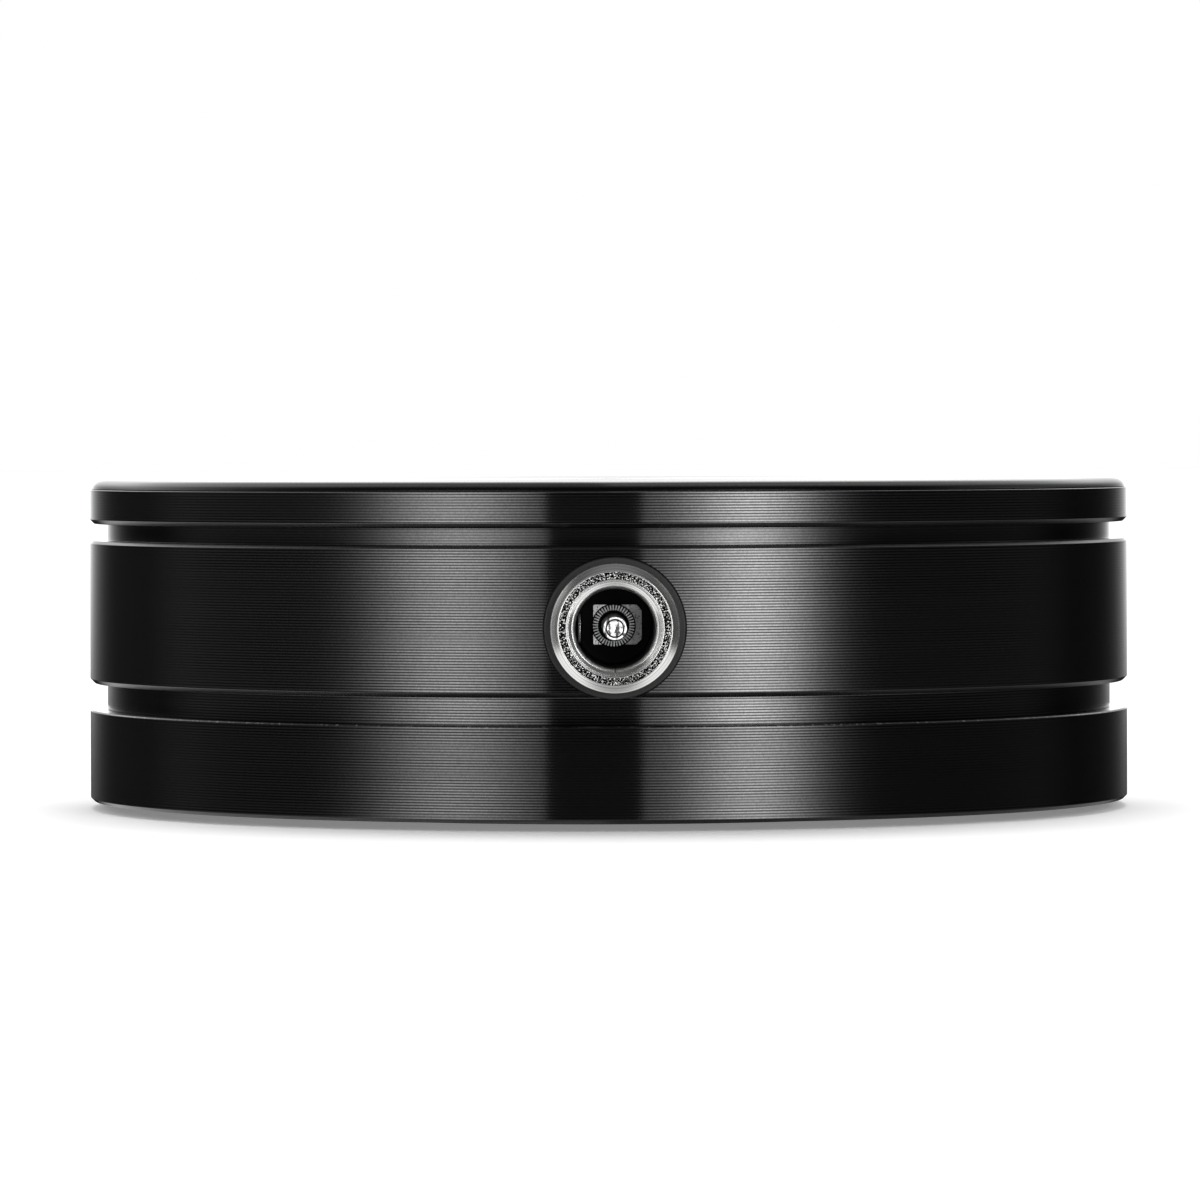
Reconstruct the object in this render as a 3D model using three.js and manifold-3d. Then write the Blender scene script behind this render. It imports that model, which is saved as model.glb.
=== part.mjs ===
// A compact magnetic stirrer: a round case turned from aluminium, with a power inlet on one side
// (-Y) and a speed knob on the other (+Y). A small motor inside spins two magnets under the top.
// Millimetres, +Z up. The origin is on the case's axis, at the underside of its rubber pad.
import * as THREE from 'three';
import { mergeVertices } from 'three/addons/utils/BufferGeometryUtils.js';
import Module from 'manifold-3d';

const wasm = await Module();
wasm.setup();

// ---------------------------------------------------------------- driving dimensions

// Case: the outer radius, and the heights of its bands and grooves above the table.
const BODY_R = 45;
const GROOVE_DEPTH = 1.5;
const NECK_R = BODY_R - GROOVE_DEPTH;
const BASE_LOW = 0.7; // the pad lifts the base this far
const BASE_HIGH = 8.6;
const BAND_LOW = 10.9;
const BAND_HIGH = 23.2;
const LID_LOW = 24.65;
const TOP = 28.4;
const EDGE = 0.37; // chamfer on the lower edge of each band
const FINE_EDGE = 0.25; // chamfer on the upper edge of the middle band
const TOP_ROUND = 1.1; // radius of the rounded top edge

// Inside the case.
const BORE_R = 40; // bore of the body ring
const FLOOR_TOP = 2.7; // upper face of the base's floor
const CUP_R = 42; // inside of the base's rim
const SPIGOT_LOW = 5.5; // the ring's spigot reaches this far down into the base
const LID_SPIGOT_LOW = 23.45;
const LID_SPIGOT_R = 39.8;
const WELL_R = 31.5; // the top plate is thin inside this radius
const PLATE_LOW = TOP - 1.5;
const PAD_R = 33;
const PAD_HIGH = 1.2;

// The four screws that hold base, ring and lid together, and the lugs they pass through.
const LUG_COUNT = 4;
const LUG_PITCH_R = 37.2;
const LUG_R = 3.8;
const SCREW_R = 1.45;
const SCREW_TOP = 26.6;

// Power inlet and knob share one height. Distances along their axes start at the case's axis.
const AXIS_Z = 16.55;
const SPOT_FACE = 44.5; // flat seat milled into the round wall
const SPOT_FACE_R = 5.85;
const NUT_FLATS = 10; // across the flats of the inlet's and the control's nuts
const NUT_SEAT_R = 6.5;

// Rotor.
const SHAFT_R = 1;
const HUB_R = 20;
const HUB_LOW = 19.6;
const HUB_HIGH = 25.6;
const MAGNET_PITCH_R = 13;
const MAGNET_R = 5;
const BUSH_R = 3.5;

// Motor.
const CAN_R = 12.2;
const CAN_WALL = 0.6;
const CAN_LOW = 5.6;
const CAN_HIGH = 16.3;
const BEARING_R = 2.2; // outside of the two bushes that the shaft runs in
const PLATE_THICK = 1.5;
const FIELD = { outer: 11.5, inner: 8.2, low: 8.6, high: 15.2, half: (Math.PI / 180) * 58 };
const BRUSH = {
  finger: 2.5, // inner face of the finger on the commutator, from the axis
  strip: 8.15, // outer face of the strip that goes down through the end cap
  tag: 14.2, // end of the solder tag
  thick: 0.3,
  half: 1,
  fingerTop: 9,
  shelf: 6.9, // under the strip inside the can
  tagLow: 3.4,
};

// Control board.
const BOARD_LOW = 8.4;
const BOARD_HIGH = 10;
const CHIP = { x: [3, 8], y: [20, 24], high: 1.6 };
const CAPACITOR = { r: 3.1, high: 6.4, x: -7.5, y: 25.5 };

const GAP = 0.03; // clearance between pieces that touch
const TURN = Math.PI * 2;
const FINE = 64; // sides of a large turned piece
const ROUND = 32; // sides of a middling one
const SMALL = 20; // sides of a small one

// ---------------------------------------------------------------- geometry helpers

function solidOf(geometry) {
  const bare = geometry.clone();
  bare.deleteAttribute('normal');
  bare.deleteAttribute('uv');
  const merged = mergeVertices(bare, 1e-4);
  const index = Array.from(merged.index.array);
  const kept = [];
  for (let i = 0; i < index.length; i += 3) {
    const [a, b, c] = index.slice(i, i + 3);
    if (a !== b && b !== c && a !== c) kept.push(a, b, c);
  }
  return new wasm.Manifold(new wasm.Mesh({
    numProp: 3,
    vertProperties: new Float32Array(merged.attributes.position.array),
    triVerts: new Uint32Array(kept),
  }));
}

function geometryOf(solid) {
  const mesh = solid.getMesh();
  const geometry = new THREE.BufferGeometry();
  geometry.setAttribute('position', new THREE.BufferAttribute(mesh.vertProperties, 3));
  geometry.setIndex(new THREE.BufferAttribute(mesh.triVerts, 1));
  geometry.computeVertexNormals();
  return geometry;
}

const cut = (base, ...tools) =>
  geometryOf(tools.reduce((solid, tool) => solid.subtract(solidOf(tool)), solidOf(base)));
const join = (first, ...others) =>
  geometryOf(others.reduce((solid, other) => solid.add(solidOf(other)), solidOf(first)));
const common = (a, b) => geometryOf(solidOf(a).intersect(solidOf(b)));

// A profile of [radius, height] pairs, listed anticlockwise, turned about Z.
function turned(profile, sides = ROUND) {
  const points = profile.map(([r, z]) => new THREE.Vector2(r, z));
  const onAxis = profile[0][0] === 0 && profile[profile.length - 1][0] === 0;
  if (!onAxis) points.push(points[0].clone());
  return new THREE.LatheGeometry(points, sides).rotateX(Math.PI / 2);
}

const rod = (radius, low, high, sides = SMALL) =>
  turned([[0, low], [radius, low], [radius, high], [0, high]], sides);

const tube = (inner, outer, low, high, sides = ROUND) =>
  turned([[inner, low], [outer, low], [outer, high], [inner, high]], sides);

const block = ([x0, x1], [y0, y1], [z0, z1]) =>
  new THREE.BoxGeometry(x1 - x0, y1 - y0, z1 - z0)
    .translate((x0 + x1) / 2, (y0 + y1) / 2, (z0 + z1) / 2);

// A flat outline, raised from one height to another.
const slab = (shape, low, high, curveSegments = 8) =>
  new THREE.ExtrudeGeometry(shape, { depth: high - low, bevelEnabled: false, curveSegments })
    .translate(0, 0, low);

const hexPrism = (acrossFlats, low, high) => rod(acrossFlats / Math.sqrt(3), low, high, 6);

// Points on a quarter round, from the side wall up to the flat top.
function quarterRound(centreR, centreZ, radius, steps) {
  return Array.from({ length: steps + 1 }, (_, i) => {
    const angle = (i / steps) * (Math.PI / 2);
    return [centreR + radius * Math.cos(angle), centreZ + radius * Math.sin(angle)];
  });
}

// Turn something built along Z so that it points out of the back (-Y) or the front (+Y).
const outOfBack = (geometry) => geometry.rotateX(Math.PI / 2).translate(0, 0, AXIS_Z);
const outOfFront = (geometry) => geometry.rotateX(-Math.PI / 2).translate(0, 0, AXIS_Z);

const lugAngle = (i) => ((i + 0.5) / LUG_COUNT) * TURN;
const atLug = (geometry, i) => geometry.translate(
  LUG_PITCH_R * Math.cos(lugAngle(i)), LUG_PITCH_R * Math.sin(lugAngle(i)), 0);
const atEachLug = (make) => Array.from({ length: LUG_COUNT }, (_, i) => atLug(make(), i));

// An insulated wire of 8 sides along a smooth route.
function wire(route, radius = 0.6) {
  const curve = new THREE.CatmullRomCurve3(route.map((p) => new THREE.Vector3(...p)));
  const section = new THREE.Shape();
  section.absarc(0, 0, radius, 0, TURN);
  return new THREE.ExtrudeGeometry(section, {
    steps: 18, curveSegments: 4, bevelEnabled: false, extrudePath: curve,
  });
}

// ---------------------------------------------------------------- materials

const finish = (color, roughness, metalness) =>
  new THREE.MeshStandardMaterial({ color, roughness, metalness });
const anodised = finish(0x101012, 0.34, 1);
const nickel = finish(0xc4c2bc, 0.25, 1);
const steel = finish(0x9a9a98, 0.38, 1);
const darkSteel = finish(0x1b1b1d, 0.4, 1);
const brass = finish(0xb08d4a, 0.35, 1);
const copper = finish(0xa8552b, 0.4, 1);
const lamination = finish(0x55565a, 0.5, 1);
const ferrite = finish(0x2b2a2c, 0.8, 0);
const blackPlastic = finish(0x121213, 0.5, 0);
const hubPlastic = finish(0xd9d8d2, 0.45, 0);
const rubber = finish(0x161616, 0.85, 0);
const boardGreen = finish(0x14502c, 0.45, 0);
const ledRed = finish(0xc0241c, 0.15, 0);
const redWire = finish(0xa81c18, 0.45, 0);
const blackWire = finish(0x151515, 0.45, 0);

const stirrer = new THREE.Group();

function add(group, name, geometry, material) {
  const mesh = new THREE.Mesh(geometry, material);
  mesh.name = name;
  group.add(mesh);
  return mesh;
}

// ---------------------------------------------------------------- case

// The lid: a thin plate over the magnets, a thick rim, and a spigot that drops into the ring.
function topCover() {
  const lid = turned([
    [0, PLATE_LOW], [WELL_R, PLATE_LOW], [WELL_R, LID_SPIGOT_LOW],
    [LID_SPIGOT_R, LID_SPIGOT_LOW], [LID_SPIGOT_R, LID_LOW],
    [BODY_R - EDGE, LID_LOW], [BODY_R, LID_LOW + EDGE],
    ...quarterRound(BODY_R - TOP_ROUND, TOP - TOP_ROUND, TOP_ROUND, 5),
    [0, TOP],
  ], FINE);
  const tappedHole = () => rod(SCREW_R + 0.1, LID_SPIGOT_LOW - 1, SCREW_TOP + 0.4, 16);
  return cut(lid, ...atEachLug(tappedHole));
}

// Holes and seats in the ring's wall for the inlet, the speed control and the indicator lamp.
function wallCuts() {
  const inside = BORE_R - 4;
  const outside = BODY_R + 3;
  return [
    outOfBack(rod(SPOT_FACE_R, SPOT_FACE, outside, 40)),
    outOfBack(rod(JACK.threadR + 0.15, inside, outside, 28)),
    outOfBack(rod(NUT_SEAT_R, inside, JACK.innerSeat, ROUND)),
    outOfFront(rod(SPOT_FACE_R, SPOT_FACE, outside, 40)),
    outOfFront(rod(POT.bushR + 0.15, inside, outside, 28)),
    placeLamp(rod(LAMP.r + 0.1, inside, outside, 16)),
  ];
}

// The ring: the middle band, the necks that form both grooves, and four lugs inside.
function bodyRing() {
  const wall = turned([
    [BORE_R, SPIGOT_LOW], [CUP_R - 0.3, SPIGOT_LOW], [CUP_R - 0.3, BASE_HIGH + GAP],
    [NECK_R, BASE_HIGH + GAP], [NECK_R, BAND_LOW],
    [BODY_R - EDGE, BAND_LOW], [BODY_R, BAND_LOW + EDGE],
    [BODY_R, BAND_HIGH - FINE_EDGE], [BODY_R - FINE_EDGE, BAND_HIGH],
    [NECK_R, BAND_HIGH], [NECK_R, LID_LOW - GAP], [BORE_R, LID_LOW - GAP],
  ], FINE);
  const lug = () => rod(LUG_R, FLOOR_TOP + GAP, LID_SPIGOT_LOW - GAP, 24);
  const clearance = () => rod(SCREW_R + 0.3, 0, TOP, 16);
  return cut(join(wall, ...atEachLug(lug)), ...atEachLug(clearance), ...wallCuts());
}

// The base: a shallow cup with countersunk screw holes and a recess for the pad.
function baseCover() {
  const cup = turned([
    [0, PAD_HIGH + GAP], [PAD_R + 0.15, PAD_HIGH + GAP], [PAD_R + 0.15, BASE_LOW],
    [BODY_R - 0.3, BASE_LOW], [BODY_R, BASE_LOW + 0.3],
    [BODY_R, BASE_HIGH - 0.12], [BODY_R - 0.12, BASE_HIGH],
    [CUP_R, BASE_HIGH], [CUP_R, FLOOR_TOP], [0, FLOOR_TOP],
  ], FINE);
  const countersink = () => turned([
    [0, 0], [3.65, 0], [3.0, BASE_LOW], [1.7, 2.0], [1.7, 4], [0, 4],
  ], 16);
  return cut(cup, ...atEachLug(countersink));
}

// A countersunk socket screw, long enough to reach the lid from under the base.
function caseScrew() {
  const head = turned([
    [0, 0.75], [2.85, 0.75], [1.5, 2.1], [SCREW_R, 2.15], [SCREW_R, SCREW_TOP - 0.4],
    [SCREW_R - 0.4, SCREW_TOP], [0, SCREW_TOP],
  ], 16);
  return cut(head, hexPrism(2, 0, 1.9));
}

function addCase() {
  add(stirrer, 'top_cover', topCover(), anodised);
  add(stirrer, 'body_ring', bodyRing(), anodised);
  add(stirrer, 'base_cover', baseCover(), anodised);
  const pad = turned([
    [0, 0], [PAD_R - 0.4, 0], [PAD_R, 0.4], [PAD_R, PAD_HIGH], [0, PAD_HIGH],
  ], FINE);
  add(stirrer, 'foot_pad', pad, rubber);
  for (let i = 0; i < LUG_COUNT; i++) {
    add(stirrer, `case_screw_${i + 1}`, atLug(caseScrew(), i), darkSteel);
  }
}

// ---------------------------------------------------------------- motor

const STANDOFF_X = 24;
const MOTOR_SCREW_X = 8.5;
const CAP_LOW = 4.2;
const CAP_PLUG_TOP = 6.6;
const BOSS_R = 3.1;
const BOSS_TOP = 17.5;

function motorCan() {
  const inner = CAN_R - CAN_WALL;
  const can = turned([
    [inner, CAN_LOW], [CAN_R, CAN_LOW], [CAN_R, CAN_HIGH - 0.6], [CAN_R - 0.6, CAN_HIGH],
    [BOSS_R, CAN_HIGH], [BOSS_R, BOSS_TOP], [BEARING_R, BOSS_TOP], [BEARING_R, CAN_HIGH - 0.8],
    [inner, CAN_HIGH - 0.8],
  ], 36);
  const tapped = (x) => rod(0.95, CAN_HIGH - 2, CAN_HIGH + 1, 12).translate(x, 0, 0);
  return cut(can, tapped(MOTOR_SCREW_X), tapped(-MOTOR_SCREW_X));
}

function motorEndCap() {
  const plugR = CAN_R - CAN_WALL - GAP;
  const cap = turned([
    [BEARING_R, CAP_LOW], [CAN_R, CAP_LOW], [CAN_R, CAN_LOW - GAP], [plugR, CAN_LOW - GAP],
    [plugR, CAP_PLUG_TOP], [BEARING_R, CAP_PLUG_TOP],
  ], 36);
  const slotX = BRUSH.strip - BRUSH.thick / 2;
  const slot = (side) => block(
    [side * slotX - 0.25, side * slotX + 0.25],
    [-BRUSH.half - 0.1, BRUSH.half + 0.1],
    [CAP_LOW - 1, CAP_PLUG_TOP + 1],
  );
  return cut(cap, slot(1), slot(-1));
}

// A brush and its terminal: one strip, from a finger on the commutator to a tag under the cap.
function brush(side) {
  const along = (a, b) => [Math.min(side * a, side * b), Math.max(side * a, side * b)];
  const width = [-BRUSH.half, BRUSH.half];
  const { finger, strip, tag, thick, shelf, tagLow } = BRUSH;
  return join(
    block(along(finger, finger + thick), width, [shelf, BRUSH.fingerTop]),
    block(along(finger, strip), width, [shelf, shelf + thick]),
    block(along(strip - thick, strip), width, [tagLow, shelf + thick]),
    block(along(strip - thick, tag), width, [tagLow, tagLow + thick]),
  );
}

// A curved ferrite magnet against the inside of the can.
function fieldMagnet(facing) {
  const arc = new THREE.Shape();
  arc.absarc(0, 0, FIELD.outer, facing - FIELD.half, facing + FIELD.half, false);
  arc.absarc(0, 0, FIELD.inner, facing + FIELD.half, facing - FIELD.half, true);
  return slab(arc, FIELD.low, FIELD.high, 14);
}

// The bridge that the motor hangs from.
function motorPlate() {
  const end = 28;
  const half = 7;
  const waist = 13; // where the arms meet the round middle
  const middleR = Math.hypot(waist, half);
  const corner = Math.atan2(half, waist);
  const outline = new THREE.Shape();
  outline.moveTo(-end + half, -half);
  outline.lineTo(-waist, -half);
  outline.absarc(0, 0, middleR, Math.PI + corner, TURN - corner, false);
  outline.lineTo(end - half, -half);
  outline.absarc(end - half, 0, half, -Math.PI / 2, Math.PI / 2, false);
  outline.lineTo(waist, half);
  outline.absarc(0, 0, middleR, corner, Math.PI - corner, false);
  outline.lineTo(-end + half, half);
  outline.absarc(-end + half, 0, half, Math.PI / 2, Math.PI * 1.5, false);
  const hole = (radius, x) => rod(radius, 0, TOP, SMALL).translate(x, 0, 0);
  return cut(
    slab(outline, CAN_HIGH + GAP, CAN_HIGH + GAP + PLATE_THICK, 12),
    hole(BOSS_R + 0.15, 0), hole(1.1, MOTOR_SCREW_X), hole(1.1, -MOTOR_SCREW_X),
    hole(1.6, STANDOFF_X), hole(1.6, -STANDOFF_X),
  );
}

// A pan-head screw standing on a surface, with a cross recess reduced to a slot.
function panScrew(shankR, length, headR, headHigh, seat) {
  const screw = turned([
    [0, seat - length], [shankR, seat - length], [shankR, seat], [headR, seat],
    [headR, seat + headHigh * 0.6], [headR * 0.75, seat + headHigh], [0, seat + headHigh],
  ], 16);
  const slot = block([-headR * 0.55, headR * 0.55], [-0.2, 0.2],
    [seat + headHigh * 0.5, seat + headHigh * 2]);
  return cut(screw, slot);
}

const plateTop = CAN_HIGH + GAP + PLATE_THICK + GAP;

function addMotor() {
  const motor = new THREE.Group();
  stirrer.add(motor);
  add(motor, 'motor_can', motorCan(), steel);
  add(motor, 'motor_end_cap', motorEndCap(), blackPlastic);
  const bush = (low, high) => tube(SHAFT_R + GAP, BEARING_R - GAP, low, high, 24);
  add(motor, 'motor_front_bush', bush(BOSS_TOP - 2.6, BOSS_TOP - 0.2), brass);
  add(motor, 'motor_rear_bush', bush(CAP_LOW + 0.1, CAP_PLUG_TOP - 0.1), brass);
  add(motor, 'field_magnet_1', fieldMagnet(Math.PI / 2), ferrite);
  add(motor, 'field_magnet_2', fieldMagnet(-Math.PI / 2), ferrite);
  add(motor, 'motor_brush_1', brush(1), copper);
  add(motor, 'motor_brush_2', brush(-1), copper);
  add(motor, 'motor_plate', motorPlate(), steel);
  [1, -1].forEach((side, i) => {
    const n = i + 1;
    const standoff = cut(
      hexPrism(5.5, FLOOR_TOP + GAP, CAN_HIGH),
      rod(1.35, CAN_HIGH - 7, CAN_HIGH + 1, 12),
    );
    add(motor, `plate_standoff_${n}`, standoff, brass).position.x = side * STANDOFF_X;
    add(motor, `plate_screw_${n}`, panScrew(1.25, 6.5, 2.4, 1.3, plateTop), darkSteel)
      .position.x = side * STANDOFF_X;
    add(motor, `motor_screw_${n}`, panScrew(0.85, 2.6, 1.7, 1.1, plateTop), darkSteel)
      .position.x = side * MOTOR_SCREW_X;
  });
}

// ---------------------------------------------------------------- rotor

const POLES = 3;
const CORE_LOW = 9.9;
const CORE_HIGH = 14.4;
const CORE_R = 7.6; // outside of the pole shoes
const SHOE_R = 6.5; // inside of them
const SHOE_HALF = (Math.PI / 180) * 50;
const ARM_HALF = 1.1;
const HUB_MIDDLE = (HUB_LOW + HUB_HIGH) / 2;
const POCKET_LOW = HUB_LOW + 0.8; // floor of the magnets' pockets

// Laminated armature core: three arms, each ending in a curved pole shoe.
function armatureCore() {
  const pieces = [rod(2.7, CORE_LOW, CORE_HIGH, 24)];
  for (let i = 0; i < POLES; i++) {
    const facing = (i / POLES) * TURN;
    const shoe = new THREE.Shape();
    shoe.absarc(0, 0, CORE_R, facing - SHOE_HALF, facing + SHOE_HALF, false);
    shoe.absarc(0, 0, SHOE_R, facing + SHOE_HALF, facing - SHOE_HALF, true);
    pieces.push(slab(shoe, CORE_LOW, CORE_HIGH, 8));
    pieces.push(block([2, 7], [-ARM_HALF, ARM_HALF], [CORE_LOW, CORE_HIGH]).rotateZ(facing));
  }
  return cut(join(...pieces), rod(SHAFT_R + GAP, 0, TOP, SMALL));
}

// One winding, wrapped round an arm of the core.
function coil(i) {
  const wrap = block([3.1, 5.8], [-2.6, 2.6], [CORE_LOW - 0.6, CORE_HIGH + 0.6]);
  const slack = 0.05;
  const arm = block([3, 7], [-ARM_HALF - slack, ARM_HALF + slack],
    [CORE_LOW - slack, CORE_HIGH + slack]);
  return cut(wrap, arm).rotateZ((i / POLES) * TURN);
}

// Turn something built along Z so that it points along +Y through the middle of the hub.
const acrossHub = (geometry) => geometry.rotateX(-Math.PI / 2).translate(0, 0, HUB_MIDDLE);

// The magnet carrier, with two pockets and a radial hole for reaching the grub screw.
function rotorHub() {
  const disc = turned([
    [BUSH_R + GAP, HUB_LOW], [HUB_R - 0.5, HUB_LOW], [HUB_R, HUB_LOW + 0.5],
    [HUB_R, HUB_HIGH - 0.5], [HUB_R - 0.5, HUB_HIGH], [BUSH_R + GAP, HUB_HIGH],
  ], 48);
  const pocket = (side) => rod(MAGNET_R + 0.05, POCKET_LOW, HUB_HIGH + 1, 28)
    .translate(side * MAGNET_PITCH_R, 0, 0);
  const access = acrossHub(rod(1.4, BUSH_R - 1, HUB_R + 2, 12));
  return cut(disc, pocket(1), pocket(-1), access);
}

function hubBush() {
  const sleeve = tube(SHAFT_R + 0.02, BUSH_R, HUB_LOW - 1.2, HUB_HIGH, 28);
  return cut(sleeve, acrossHub(rod(1.25, 0.5, BUSH_R + 1, 12)));
}

function hubScrew() {
  return acrossHub(cut(rod(1.2, SHAFT_R + 0.05, 5.2, 12), hexPrism(1.2, 3.9, 6)));
}

function addRotor() {
  const rotor = new THREE.Group();
  stirrer.add(rotor);
  add(rotor, 'motor_shaft', rod(SHAFT_R, CAP_LOW + 0.6, HUB_HIGH - 0.1, SMALL), steel);
  add(rotor, 'armature_core', armatureCore(), lamination);
  for (let i = 0; i < POLES; i++) add(rotor, `armature_coil_${i + 1}`, coil(i), copper);
  add(rotor, 'commutator', tube(SHAFT_R + GAP, 2.3, 7.3, 9.2, 24), copper);
  add(rotor, 'rotor_hub', rotorHub(), hubPlastic);
  add(rotor, 'hub_bush', hubBush(), brass);
  add(rotor, 'hub_screw', hubScrew(), darkSteel);
  [1, -1].forEach((side, i) => {
    const magnet = rod(MAGNET_R, POCKET_LOW + GAP, HUB_HIGH - 0.1, 28);
    add(rotor, `drive_magnet_${i + 1}`, magnet, nickel).position.x = side * MAGNET_PITCH_R;
  });
}

// ---------------------------------------------------------------- power inlet

const PIN_R = 1;
const CONTACT = { x: -2.95, tailX: -2.85, tail: 27.5, end: 45.2, half: 1.1, thick: 0.2 };

// Distances are along the inlet's own axis, which leaves the case at -Y.
const JACK = {
  threadR: 4,
  boreR: 3.6, // inside of the metal sleeve
  linerR: 3.2, // inside of its plastic lining, which is the socket itself
  flangeR: 5.25,
  face: 46.6, // the flange's front face
  linerEnd: 45.9,
  flangeBack: 45.2,
  washerR: 5.78,
  innerSeat: 40.5, // flat inside the wall, for the nut
  cavityFloor: 36.6,
  sleeveBack: 34.6,
  pinTip: 45.9,
};

function jackBarrel() {
  return turned([
    [JACK.boreR, JACK.sleeveBack], [JACK.threadR, JACK.sleeveBack],
    [JACK.threadR, JACK.flangeBack + GAP], [JACK.flangeR, JACK.flangeBack + GAP],
    [JACK.flangeR, JACK.face - 0.55], [JACK.flangeR - 0.6, JACK.face],
    [JACK.linerR + 0.7, JACK.face], [JACK.linerR, JACK.face - 0.65],
    [JACK.boreR, JACK.face - 0.65],
  ], 36);
}

// The moulded cup that lines the sleeve and closes its back, slotted for the side contact.
function jackInsulator() {
  const cup = turned([
    [PIN_R + 0.05, 31], [4.2, 31], [4.2, JACK.sleeveBack - GAP],
    [JACK.boreR - GAP, JACK.sleeveBack - GAP], [JACK.boreR - GAP, JACK.linerEnd],
    [JACK.linerR, JACK.linerEnd], [JACK.linerR, JACK.cavityFloor],
    [PIN_R + 0.05, JACK.cavityFloor],
  ], 28);
  return cut(cup, block([-2.93, -2.57], [-1.2, 1.2], [30, 38]));
}

// The pin that the plug slides over, with a rounded tip and a solder tail.
function jackPin() {
  const tip = quarterRound(PIN_R - 0.3, JACK.pinTip - 0.3, 0.3, 3);
  return turned([[0, 28], [0.8, 28], [0.8, 30.9], [PIN_R, 30.9], ...tip, [0, JACK.pinTip]], 24);
}

// The plate and collar riveted round the pin's root.
function jackPinBase() {
  const low = JACK.cavityFloor + GAP;
  const plate = new THREE.Shape();
  const corner = 0.45; // cut off the two corners away from the contact
  const corners = [
    [-1.8, -1.5], [2.3 - corner, -1.5], [2.3, -1.5 + corner],
    [2.3, 1.9 - corner], [2.3 - corner, 1.9], [-1.8, 1.9],
  ];
  corners.forEach(([x, y], i) => (i ? plate.lineTo(x, y) : plate.moveTo(x, y)));
  plate.closePath();
  const collar = rod(1.7, low, low + 0.6, 28);
  return cut(join(slab(plate, low, low + 0.25), collar), rod(PIN_R + 0.02, 30, 40, 24));
}

// The sprung side contact: a leaf that lies close to the socket's wall, with a solder tail.
function jackContact() {
  const { x, tailX, tail, end, half, thick } = CONTACT;
  const route = [[tailX, tail], [tailX, 38], [x, 39.4], [x, end]];
  const leaf = new THREE.Shape();
  route.forEach(([across, s], i) => (i ? leaf.lineTo(across, s) : leaf.moveTo(across, s)));
  route.reverse().forEach(([across, s]) => leaf.lineTo(across + thick, s));
  return slab(leaf, -half, half).rotateX(Math.PI / 2);
}

function addInlet() {
  const inlet = new THREE.Group();
  inlet.rotation.x = Math.PI / 2;
  inlet.position.z = AXIS_Z;
  stirrer.add(inlet);
  const seat = SPOT_FACE + GAP;
  add(inlet, 'jack_barrel', jackBarrel(), nickel);
  add(inlet, 'jack_washer', tube(JACK.threadR + 0.1, JACK.washerR, seat, JACK.flangeBack, 36), rubber);
  const nut = cut(
    hexPrism(NUT_FLATS, JACK.innerSeat - 2.1, JACK.innerSeat - GAP),
    rod(JACK.threadR + 0.05, 30, 44, 28),
  );
  add(inlet, 'jack_nut', nut, nickel);
  add(inlet, 'jack_insulator', jackInsulator(), blackPlastic);
  add(inlet, 'jack_pin', jackPin(), nickel);
  add(inlet, 'jack_pin_base', jackPinBase(), steel);
  add(inlet, 'jack_contact', jackContact(), nickel);
}

// ---------------------------------------------------------------- speed control

// Distances are along the knob's own axis, which leaves the case at +Y.
const POT = {
  bodyBack: 32.6,
  bodyFront: 39.4,
  half: 4.9,
  washerR: 5.5,
  bushR: 3.5,
  bushEnd: 47.1,
  shaftR: 3,
  shaftBack: 34,
  shaftEnd: 57,
};

const KNOB = {
  r: 8,
  gripR: 7.5,
  back: 45.7,
  skirtEnd: 48.4,
  end: 59.5,
  flutes: 28,
  fluteDepth: 0.45,
  screwAt: 52.4,
};

const KNOB_REST = (Math.PI / 180) * 150; // the pointer rests this far anticlockwise of the top

const LAMP = { r: 1.5, angle: (Math.PI / 180) * 66, tip: 45.3, flange: 39.8 };

// Point something built along Z out through the wall at the lamp's place.
function placeLamp(geometry) {
  return outOfFront(geometry).rotateZ(LAMP.angle - Math.PI / 2);
}

function potBody() {
  const boardFace = AXIS_Z - BOARD_HIGH; // the board lies this far below the axis
  const box = block([-POT.half, POT.half], [-4.8, boardFace - GAP], [POT.bodyBack, POT.bodyFront]);
  return cut(box, rod(POT.shaftR + 0.05, POT.shaftBack - 0.1, BODY_R, 28));
}

// The shaft has a flat for the knob's grub screw, on the pointer's side.
function potShaft() {
  const shaft = rod(POT.shaftR, POT.shaftBack, POT.shaftEnd, 28);
  const flat = block([-4, 4], [-4, -1.5], [KNOB.skirtEnd, POT.shaftEnd + 1]);
  return cut(shaft, flat);
}

// Outline of the fluted grip.
function flutedOutline() {
  const outline = new THREE.Shape();
  for (let i = 0; i < KNOB.flutes; i++) {
    const at = (part, radius) => {
      const angle = ((i + part) / KNOB.flutes) * TURN;
      return [radius * Math.cos(angle), radius * Math.sin(angle)];
    };
    if (i === 0) outline.moveTo(...at(0, KNOB.gripR));
    else outline.lineTo(...at(0, KNOB.gripR));
    outline.lineTo(...at(0.55, KNOB.gripR));
    outline.lineTo(...at(0.78, KNOB.gripR - KNOB.fluteDepth));
  }
  outline.closePath();
  return outline;
}

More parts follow.
